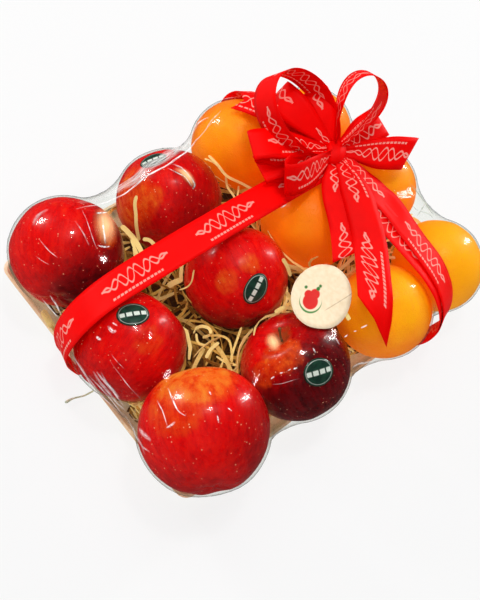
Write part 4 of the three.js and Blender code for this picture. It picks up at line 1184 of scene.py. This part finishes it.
def finer(rows, count):
    """The same strip with more rows and more points across."""
    rows = np.array(rows, float)
    columns = np.array([eased(rows[:, i], count) for i in range(rows.shape[1])]).transpose(1, 0, 2)
    shares = (SHIFTS + 1) / 2 * (rows.shape[1] - 1)
    return np.array([interpolated(shares, range(rows.shape[1]), row) for row in columns])


def tail_rows(line, lengths, lift):
    """Rows of a tail that hangs taut over the hollows and lies on what is below it."""
    plan = eased([(KNOT.x, KNOT.y, 0)] + [(x, y, 0) for x, y in line], 400)
    far = run_of(plan)
    steps = round(far[-1] / TAIL_STEP)
    ahead = np.gradient(plan, axis=0)
    rows = []
    for i in range(steps + 1):
        half = half_width(TAIL_PINCH, i / steps / 0.3)
        row = []
        for shift in (-1, 0, 1):
            at = i / steps * (lengths[0] + (lengths[1] - lengths[0]) * (shift + 1) / 2) * far[-1]
            p = interpolated([at], far, plan)[0]
            t = interpolated([at], far, ahead)[0]
            t /= np.linalg.norm(t)
            p += np.array([t[1], -t[0], 0]) * half * shift
            p[2] = ground_at(p[0], p[1]) + TAIL_GAP + lift
            row.append(p)
        rows.append(row)
    rows = np.array(rows)
    rows[0, :, 2] = KNOT.z - 1.3 + lift
    least = rows[:, :, 2].copy()
    for _ in range(60):
        for i in range(1, steps):
            rows[i, :, 2] = np.maximum(least[i], (rows[i - 1, :, 2] + rows[i + 1, :, 2]) / 2 - TAIL_SAG)
    rows[:, :, 2] += 0.35
    return finer(rows, steps * 4 + 1)


def wrapped(points):
    """Convex outline of flat points."""
    chains = []
    for order in (sorted(map(tuple, points)), sorted(map(tuple, points), reverse=True)):
        chain = []
        for p in order:
            while len(chain) > 1:
                (ax, ay), (bx, by) = chain[-2:]
                if (bx - ax) * (p[1] - ay) - (by - ay) * (p[0] - ax) > 0:
                    break
                chain.pop()
            chain.append(p)
        chains += chain[:-1]
    return chains


def leaves_at(outline, angle):
    """Where a ray from the middle of the section leaves the outline."""
    du, dz = math.cos(angle), math.sin(angle)
    for (au, az), (bu, bz) in zip(outline, outline[1:] + outline[:1]):
        eu, ez = bu - au, bz - az
        cross = du * ez - dz * eu
        if abs(cross) < 1e-9:
            continue
        far = (au * ez - (az - WRAP_MIDDLE) * eu) / cross
        along = (au * dz - (az - WRAP_MIDDLE) * du) / cross
        if far > 0 and 0 <= along <= 1:
            return far * du, WRAP_MIDDLE + far * dz
    return 0.0, 0.0


def taut_outline(x, gap):
    """Outline of a taut strip over everything in the slice at x, a gap off it."""
    points = []
    middle = Vector((x, 0, WRAP_MIDDLE)) * MM
    for angle in np.radians(np.arange(-130, 140, 2.0)):
        way = Vector((0, math.cos(angle), math.sin(angle)))
        for out in (way, -way):
            for tree in under_bow:
                hit = tree.ray_cast(middle + out * SLICE_REACH, -out, SLICE_REACH)[0]
                if hit:
                    points.append((hit.y / MM, hit.z / MM))
    turns = np.linspace(0, 2 * math.pi, 16, endpoint=False)
    ring = [(gap * math.cos(a), gap * math.sin(a)) for a in turns]
    return wrapped([(u + du, z + dz) for u, z in wrapped(points) for du, dz in ring])


def side_tail_rows():
    """Rows of the long tail over the near edge and down the side, on top of the band across."""
    stations = eased([(x, 0, 0) for x in (77, 84, 86, 83, 77, 73, 72, 72)], 200)[:, 0]
    start = math.atan2(KNOT.z - WRAP_MIDDLE, KNOT.y)
    end = math.atan2(14 - WRAP_MIDDLE, -112) + 2 * math.pi
    rows = []
    for share in np.arange(15) / 14:
        angle = start + (end - start) * share ** 0.8
        x = np.interp(share, np.linspace(0, 1, 200), stations)
        half = half_width(TAIL_PINCH, share / 0.25)
        rise = 5 * (1 - float(smoothed(share / 0.3)))
        row = []
        for shift in (1, 0, -1):
            at = x - half * shift
            u, z = leaves_at(taut_outline(at, TAIL_GAP + rise + 0.35), angle)
            row.append((at, u, z))
        rows.append(row)
    return finer(rows, 57)


# Name, plan from the knot on, how far its two edges run, lift and where its print starts
TAILS = [
    ("bow_tail_1", [(66, 9), (53, -6), (44, -22), (35, -36), (19, -56)], (0.8, 0.95), 0.0, 20.0),
    ("bow_tail_2", [(70, -3), (58, -28), (45, -50), (25, -75), (2, -104)], (1.0, 0.8), 1.2, 8.0),
    ("bow_tail_3", [(74, 45), (68, 64), (58, 83), (47, 102)], (1.0, 0.99), 0.5, 30.0),
]
NOTCH_DEPTH = 6
tails = [(name, tail_rows(line, lengths, lift), start) for name, line, lengths, lift, start in TAILS]
tails.append(("bow_tail_4", side_tail_rows(), 4.0))
for name, rows, start in tails:
    if name == "bow_tail_3":
        inward = rows[-6] - rows[-5]
        inward /= np.linalg.norm(inward, axis=1)[:, None]
        for k in range(1, 5):
            notch = NOTCH_DEPTH * (5 - k) / 4 * (1 - np.abs(SHIFTS))
            rows[-k] += inward * notch[:, None]
    tail, length = ribbon(name, rows, start)
    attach(tail, "root")

# The knot: the ribbon pulled twice round the gathers, puffed, with creases along it
deselect()
bpy.ops.mesh.primitive_uv_sphere_add(segments=56, ring_count=30, radius=1, location=(0, 0, 0))
knot = bpy.context.object
knot.name = "bow_knot"
points = places_of(knot)
turn = np.arctan2(points[:, 2], points[:, 1])
pleat = 0.07 * np.abs(np.sin(turn * 3.5 + points[:, 0] * 1.4)) * (1 - points[:, 0] ** 2)
waist = 1 + 0.12 * (1 - points[:, 0] ** 2)
points *= (waist - pleat)[:, None]
set_places(knot, points)
chart = knot.data.uv_layers.active
chart.name = "ribbon_map"
for loop in chart.data:
    loop.uv = (loop.uv[1] * 0.02 + 0.056, (loop.uv[0] - 0.5) * 0.02)
knot.data.transform(
    Matrix.Translation(KNOT * MM) @ Matrix.Rotation(0.6, 4, "Z") @ Matrix.Diagonal((0.012, 0.008, 0.0055, 1))
)
take(knot)
bpy.ops.object.shade_smooth()
wear(knot, satin)
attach(knot, "root")
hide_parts("bow")


# 8. Label. A round cream paper seal, 45 mm across, stuck on the film between apples 4 and 6 and the
# third orange, with one crease and a small printed berry in a thin green crescent.
# Middle and the two half diameters in plan, and the crease's line on the unit disc
LABEL_AT = (-11.3, -59.5)
LABEL_ACROSS = (20.0, -11.2)
LABEL_DOWN = (-18.0, -18.5)
LABEL_LIFT = 0.7
CREASE_WAY = (-0.486, 0.874)
CREASE_OFF = 0.418
CREASE_RISE = 0.35


def disc(name, at, thick, sides=48, cuts=5):
    """A thin disc laid on a surface; "at" gives the place of each point of a unit disc."""
    deselect()
    bpy.ops.mesh.primitive_circle_add(vertices=sides, radius=1, fill_type="TRIFAN", location=(0, 0, 0))
    piece = bpy.context.object
    piece.name = name
    cut_finer(cuts)
    flat = places_of(piece)
    chart = piece.data.uv_layers.active or piece.data.uv_layers.new(name="disc_map")
    chart.name = "disc_map"
    for loop, corner in zip(chart.data, piece.data.loops):
        loop.uv = flat[corner.vertex_index][:2]
    set_places(piece, [at(p[0], p[1]) for p in flat])
    bpy.ops.object.shade_smooth()
    thicken(piece, "paper_body", thick)
    return piece


def on_label(u, v):
    x = LABEL_AT[0] - u * LABEL_ACROSS[0] + v * LABEL_DOWN[0]
    y = LABEL_AT[1] - u * LABEL_ACROSS[1] + v * LABEL_DOWN[1]
    hit = top_at(film_tree, x, y)
    off = (CREASE_WAY[0] * u + CREASE_WAY[1] * v - CREASE_OFF) / 0.05
    crease = CREASE_RISE * math.exp(-off ** 2) if u < 0 else 0
    return hit + Vector((0, 0, LABEL_LIFT + crease)) * MM


label = disc("label_seal", on_label, 0.2)

# Coated label paper: smooth cream, slightly uneven, with flat printed inks.
paper, tree, shader = new_finish("label_paper", Roughness=0.5, Specular_IOR_Level=0.35)
chart = add_node(tree, "UVMap", uv_map="disc_map")
cloud = add_fleck(tree, 300.0, 4.0)
shade = add_node(tree, "ValToRGB", cloud, stops=[(0.3, "F6DDB6"), (0.7, "FFEBCB")])
for ink, spots in (
    ("3F8A3A", [(0.36, 0.14, 0.37)]),
    ("FDE6C4", [(0.35, 0.09, 0.36)]),
    ("E01408", [(0.37, 0.14, 0.25), (0.22, -0.08, 0.16), (0.44, -0.08, 0.13)]),
    ("2F7A2C", [(0.12, -0.24, 0.06), (0.05, -0.32, 0.05), (0.52, -0.3, 0.05)]),
):
    for x, y, size in spots:
        gap = add_node(tree, "VectorMath.DISTANCE", chart, (x, y, 0))
        spot = add_node(tree, "MapRange", gap, size - 0.015, size + 0.015, 1.0, 0.0)
        shade = add_node(tree, "Mix.RGBA", spot, shade, linear(ink))
# A darker line along the crease on one half: painted shade of the fold.
far = add_node(tree, "VectorMath.DOT_PRODUCT", chart, (*CREASE_WAY, 0))
line = add_line(tree, far, CREASE_OFF, 0.006, 0.022, 0.55)
side = add_node(tree, "SeparateXYZ", chart)
side = add_node(tree, "MapRange", side, -0.08, -0.2)
line = add_node(tree, "Math.MULTIPLY", line, side)
shade = add_node(tree, "Mix.RGBA", line, shade, linear("B08A58"))
bump = add_node(tree, "Bump", Strength=0.1, Distance=0.0001, Height=cloud)
fill(shader, {"Base Color": shade, "Normal": bump})
wear(label, paper)
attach(label, "root")
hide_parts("label")


# 9. Fruit stickers. Four oval stickers of dark green plastic film on the apples, under the wrap,
# each with a pale band of short bars across and a thin pale rim line.
# Apple, place on it as a way from its middle, long way and the two half sizes
STICKERS = [
    (4, (-0.273, -0.594, 0.756), (-0.518, -0.245, -0.392), (12.0, 8.5)),
    (6, (-0.209, -0.443, 0.872), (0.95, -0.3, 0.05), (11.0, 9.5)),
    (3, (0.002, 0.128, 0.992), (0.9, -0.43, 0.04), (11.0, 8.5)),
    (2, (-0.176, 0.516, 0.838), (0.87, -0.3, 0.375), (10.0, 7.0)),
]
sticker_film, tree, shader = new_finish("sticker_gloss", Roughness=0.28)
chart = add_node(tree, "UVMap", uv_map="disc_map")
far = add_node(tree, "VectorMath.LENGTH", chart)
parts = add_node(tree, "SeparateXYZ", chart, give=None)
level = add_node(tree, "Math.ABSOLUTE", parts.outputs[1])
band = add_node(tree, "MapRange", level, 0.14, 0.2, 1.0, 0.0)
inside = add_node(tree, "Math.LESS_THAN", far, 0.8)
bar = add_node(tree, "Math.MULTIPLY", band, inside)
teeth = add_node(tree, "Math.PINGPONG", parts.outputs[0], 0.22)
teeth = add_node(tree, "Math.GREATER_THAN", teeth, 0.05)
bar = add_node(tree, "Math.MULTIPLY", bar, teeth)
rim = add_line(tree, far, 0.86, 0.015, 0.035, 0.45)
cloud = add_fleck(tree, 260.0, 3.0)
green = add_node(tree, "ValToRGB", cloud, stops=[(0.35, "0E2A22"), (0.7, "1F4A38")])
pale = add_node(tree, "Math.MAXIMUM", bar, rim)
ink = add_node(tree, "Mix.RGBA", pale, green, linear("E9EFE6"))
fill(shader, {"Base Color": ink})

for number, (on, over, along, half) in enumerate(STICKERS, 1):
    radius, centre, stem = APPLES[on - 1]
    out = Vector(over).normalized()
    long = Vector(along)
    long = (long - out * out.dot(long)).normalized()
    wide = out.cross(long)
    axis = Vector(stem).normalized()

    def on_apple(u, v):
        way = (out + long * (u * half[0] / radius) + wide * (v * half[1] / radius)).normalized()
        reach = radius * float(apple_share(np.array(way.angle(axis)))) + 0.25
        return (Vector(centre) + way * reach) * MM

    sticker = disc(f"sticker_{number}_film", on_apple, 0.12, sides=40, cuts=4)
    wear(sticker, sticker_film)
    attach(sticker, "root")
    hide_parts(f"sticker_{number}")


# 10. Leaf. One small dark leaf caught between the third orange and the film, cupped along its
# midrib and pointed at both ends.
leaf_way = Vector((0.9, 0.22, 0.36)).normalized()
leaf_side = Vector((-0.36, -0.3, 0.88)).normalized()
leaf_out = leaf_way.cross(leaf_side).normalized()
low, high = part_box("leaf")
leaf_middle = (low + high) / 2


def on_leaf(u, v):
    narrow = (1 - 0.35 * abs(u) ** 1.5) * (0.9 + 0.1 * math.cos(9 * u))
    cup = 0.9 * v * v + 0.5 * math.sin(2.2 * u)
    return leaf_middle + (leaf_way * 7.5 * u + leaf_side * 4.0 * v * narrow + leaf_out * (cup - 0.3)) * MM


leaf = disc("leaf_blade", on_leaf, 0.35, sides=36, cuts=5)
leaf_green, tree, shader = new_finish("leaf_green", Roughness=0.45)
chart = add_node(tree, "UVMap", uv_map="disc_map")
parts = add_node(tree, "SeparateXYZ", chart, give=None)
rib = add_node(tree, "Math.ABSOLUTE", parts.outputs[1])
slope = add_node(tree, "Math.MULTIPLY_ADD", rib, -1.2, parts.outputs[0])
veins = add_node(tree, "Math.PINGPONG", slope, 0.24)
veins = add_node(tree, "MapRange", veins, 0.0, 0.05, 0.6, 0.0)
middle = add_node(tree, "MapRange", rib, 0.03, 0.08, 0.9, 0.0)
line = add_node(tree, "Math.MAXIMUM", veins, middle)
blade = add_node(tree, "Mix.RGBA", line, linear("1C7A16"), linear("58A83A"))
bump = add_node(tree, "Bump", Strength=0.4, Distance=0.0003, Height=line)
fill(shader, {"Base Color": blade, "Normal": bump})
wear(leaf, leaf_green)
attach(leaf, "root")
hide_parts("leaf")


# 11. Loose stalk. A pale dry stalk that sticks out under the film's foot at the left end, with a
# small knob at its tip.
STALK_LINE = [(-150.6, -5.4, 1.3), (-158, -4.6, 1.3), (-165, -2.2, 1.5), (-171.5, -1.6, 1.9)]
LOOSE_RADIUS = 0.62
KNOB_GROWTH = [1.0] * 10 + [1.16] * 4 + [0.6]
line = eased(STALK_LINE, len(KNOB_GROWTH) + 1)
deselect()
bpy.ops.mesh.primitive_circle_add(
    vertices=12, radius=LOOSE_RADIUS * MM, fill_type="NGON", location=(0, 0, 0)
)
loose = bpy.context.object
loose.name = "loose_stalk_dry"
way = Vector(line[1] - line[0]).normalized()
loose.data.transform(Matrix.Translation(Vector(line[0]) * MM) @ turn_to(way))
draw_out([Vector(step) * MM for step in np.diff(line, axis=0)], KNOB_GROWTH)
stalk_dry = dry_finish("stalk_dry", 0.6, 500.0, [(0.3, "B7BEA0"), (0.7, "DCE0CC")], 0.3, 0.0002)
wear(loose, stalk_dry)
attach(loose, "root")
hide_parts("loose_stalk")


# 12. Floor, camera and lights. A plain pale floor; the camera looks down on the pack from the
# near left, rolled as the photograph is; soft studio light with a ceiling lamp and two windows.
deselect()
bpy.ops.mesh.primitive_plane_add(size=8, location=(0, 0, -0.0002))
floor = bpy.context.object
floor.name = "studio_floor"
floor_paint, tree, shader = new_finish("studio_floor", Roughness=0.9, Specular_IOR_Level=0.1)
place = add_node(tree, "TexCoord", give="Object")
away = add_node(tree, "VectorMath.LENGTH", place)
glow = add_node(tree, "MapRange", away, 0.4, 2.2, 0.82, 0.93)
fill(shader, {
    "Base Color": linear("656565"), "Emission Color": linear("FFFFFF"), "Emission Strength": glow
})
wear(floor, floor_paint)
floor.visible_glossy = False

# The photograph's camera: where it stands, in millimetres, its right-hand way, and its focal
# length and the photograph's height in pixels
CAMERA_AT = (-354.9, -171.0, 607.4)
CAMERA_RIGHT = (0.7375, -0.6295, 0.2447)
FOCAL_PIXELS = 936.1
PHOTO_HEIGHT = 600
SENSOR = 36.0
back = Vector(TO_VIEWER).normalized()
right = Vector(CAMERA_RIGHT)
right = (right - back * right.dot(back)).normalized()
up = back.cross(right)
camera_data = bpy.data.cameras.new("view_camera")
camera = bpy.data.objects.new("view_camera", camera_data)
bpy.context.scene.collection.objects.link(camera)
turned = Matrix((right, up, back)).transposed().to_4x4()
camera.matrix_world = Matrix.Translation(Vector(CAMERA_AT) * MM) @ turned
camera_data.sensor_width = SENSOR
camera_data.lens = FOCAL_PIXELS / PHOTO_HEIGHT * SENSOR
camera_data.clip_start = 0.01
camera_data.clip_end = 20
bpy.context.scene.camera = camera


def softbox(name, azimuth, elevation, distance, size, watts, mirrored=True):
    """An area lamp that faces the pack from a compass way and a height; glossy faces may mirror it."""
    lamp = bpy.data.lights.new(name, "AREA")
    lamp.shape = "RECTANGLE"
    lamp.size, lamp.size_y = size
    lamp.energy = watts
    post = bpy.data.objects.new(name, lamp)
    bpy.context.scene.collection.objects.link(post)
    a, e = math.radians(azimuth), math.radians(elevation)
    way = Vector((math.cos(a) * math.cos(e), math.sin(a) * math.cos(e), math.sin(e)))
    post.location = Vector((0, 0, 0.05)) + way * distance
    post.rotation_mode = "QUATERNION"
    post.rotation_quaternion = way.to_track_quat("Z", "Y")
    post.visible_glossy = mirrored


softbox("ceiling_lamp", 75, 85, 1.6, (0.14, 0.14), 5)
softbox("window_far", 104, 25, 1.6, (0.24, 0.4), 9)
softbox("window_right", -3, 19, 1.5, (0.12, 0.62), 9)
softbox("key_above", 75, 72, 2.2, (1.8, 1.8), 19, mirrored=False)
softbox("fill_left", 215, 45, 2.4, (1.8, 1.8), 15, mirrored=False)

# The air round the pack is pale to the eye, dim for what it lights and dark in the gloss
world = bpy.data.worlds.new("studio_air")
bpy.context.scene.world = world
world.use_nodes = True
tree = world.node_tree
ray = add_node(tree, "LightPath", give=None)
soft = add_node(tree, "Math.MULTIPLY_ADD", ray.outputs["Is Diffuse Ray"], 0.1, 0.08)
strength = add_node(tree, "Math.MULTIPLY_ADD", ray.outputs["Is Camera Ray"], 0.87, soft)
fill(tree.nodes["Background"], {"Color": linear("FFFFFF"), "Strength": strength})
bpy.context.scene.view_settings.view_transform = "Standard"
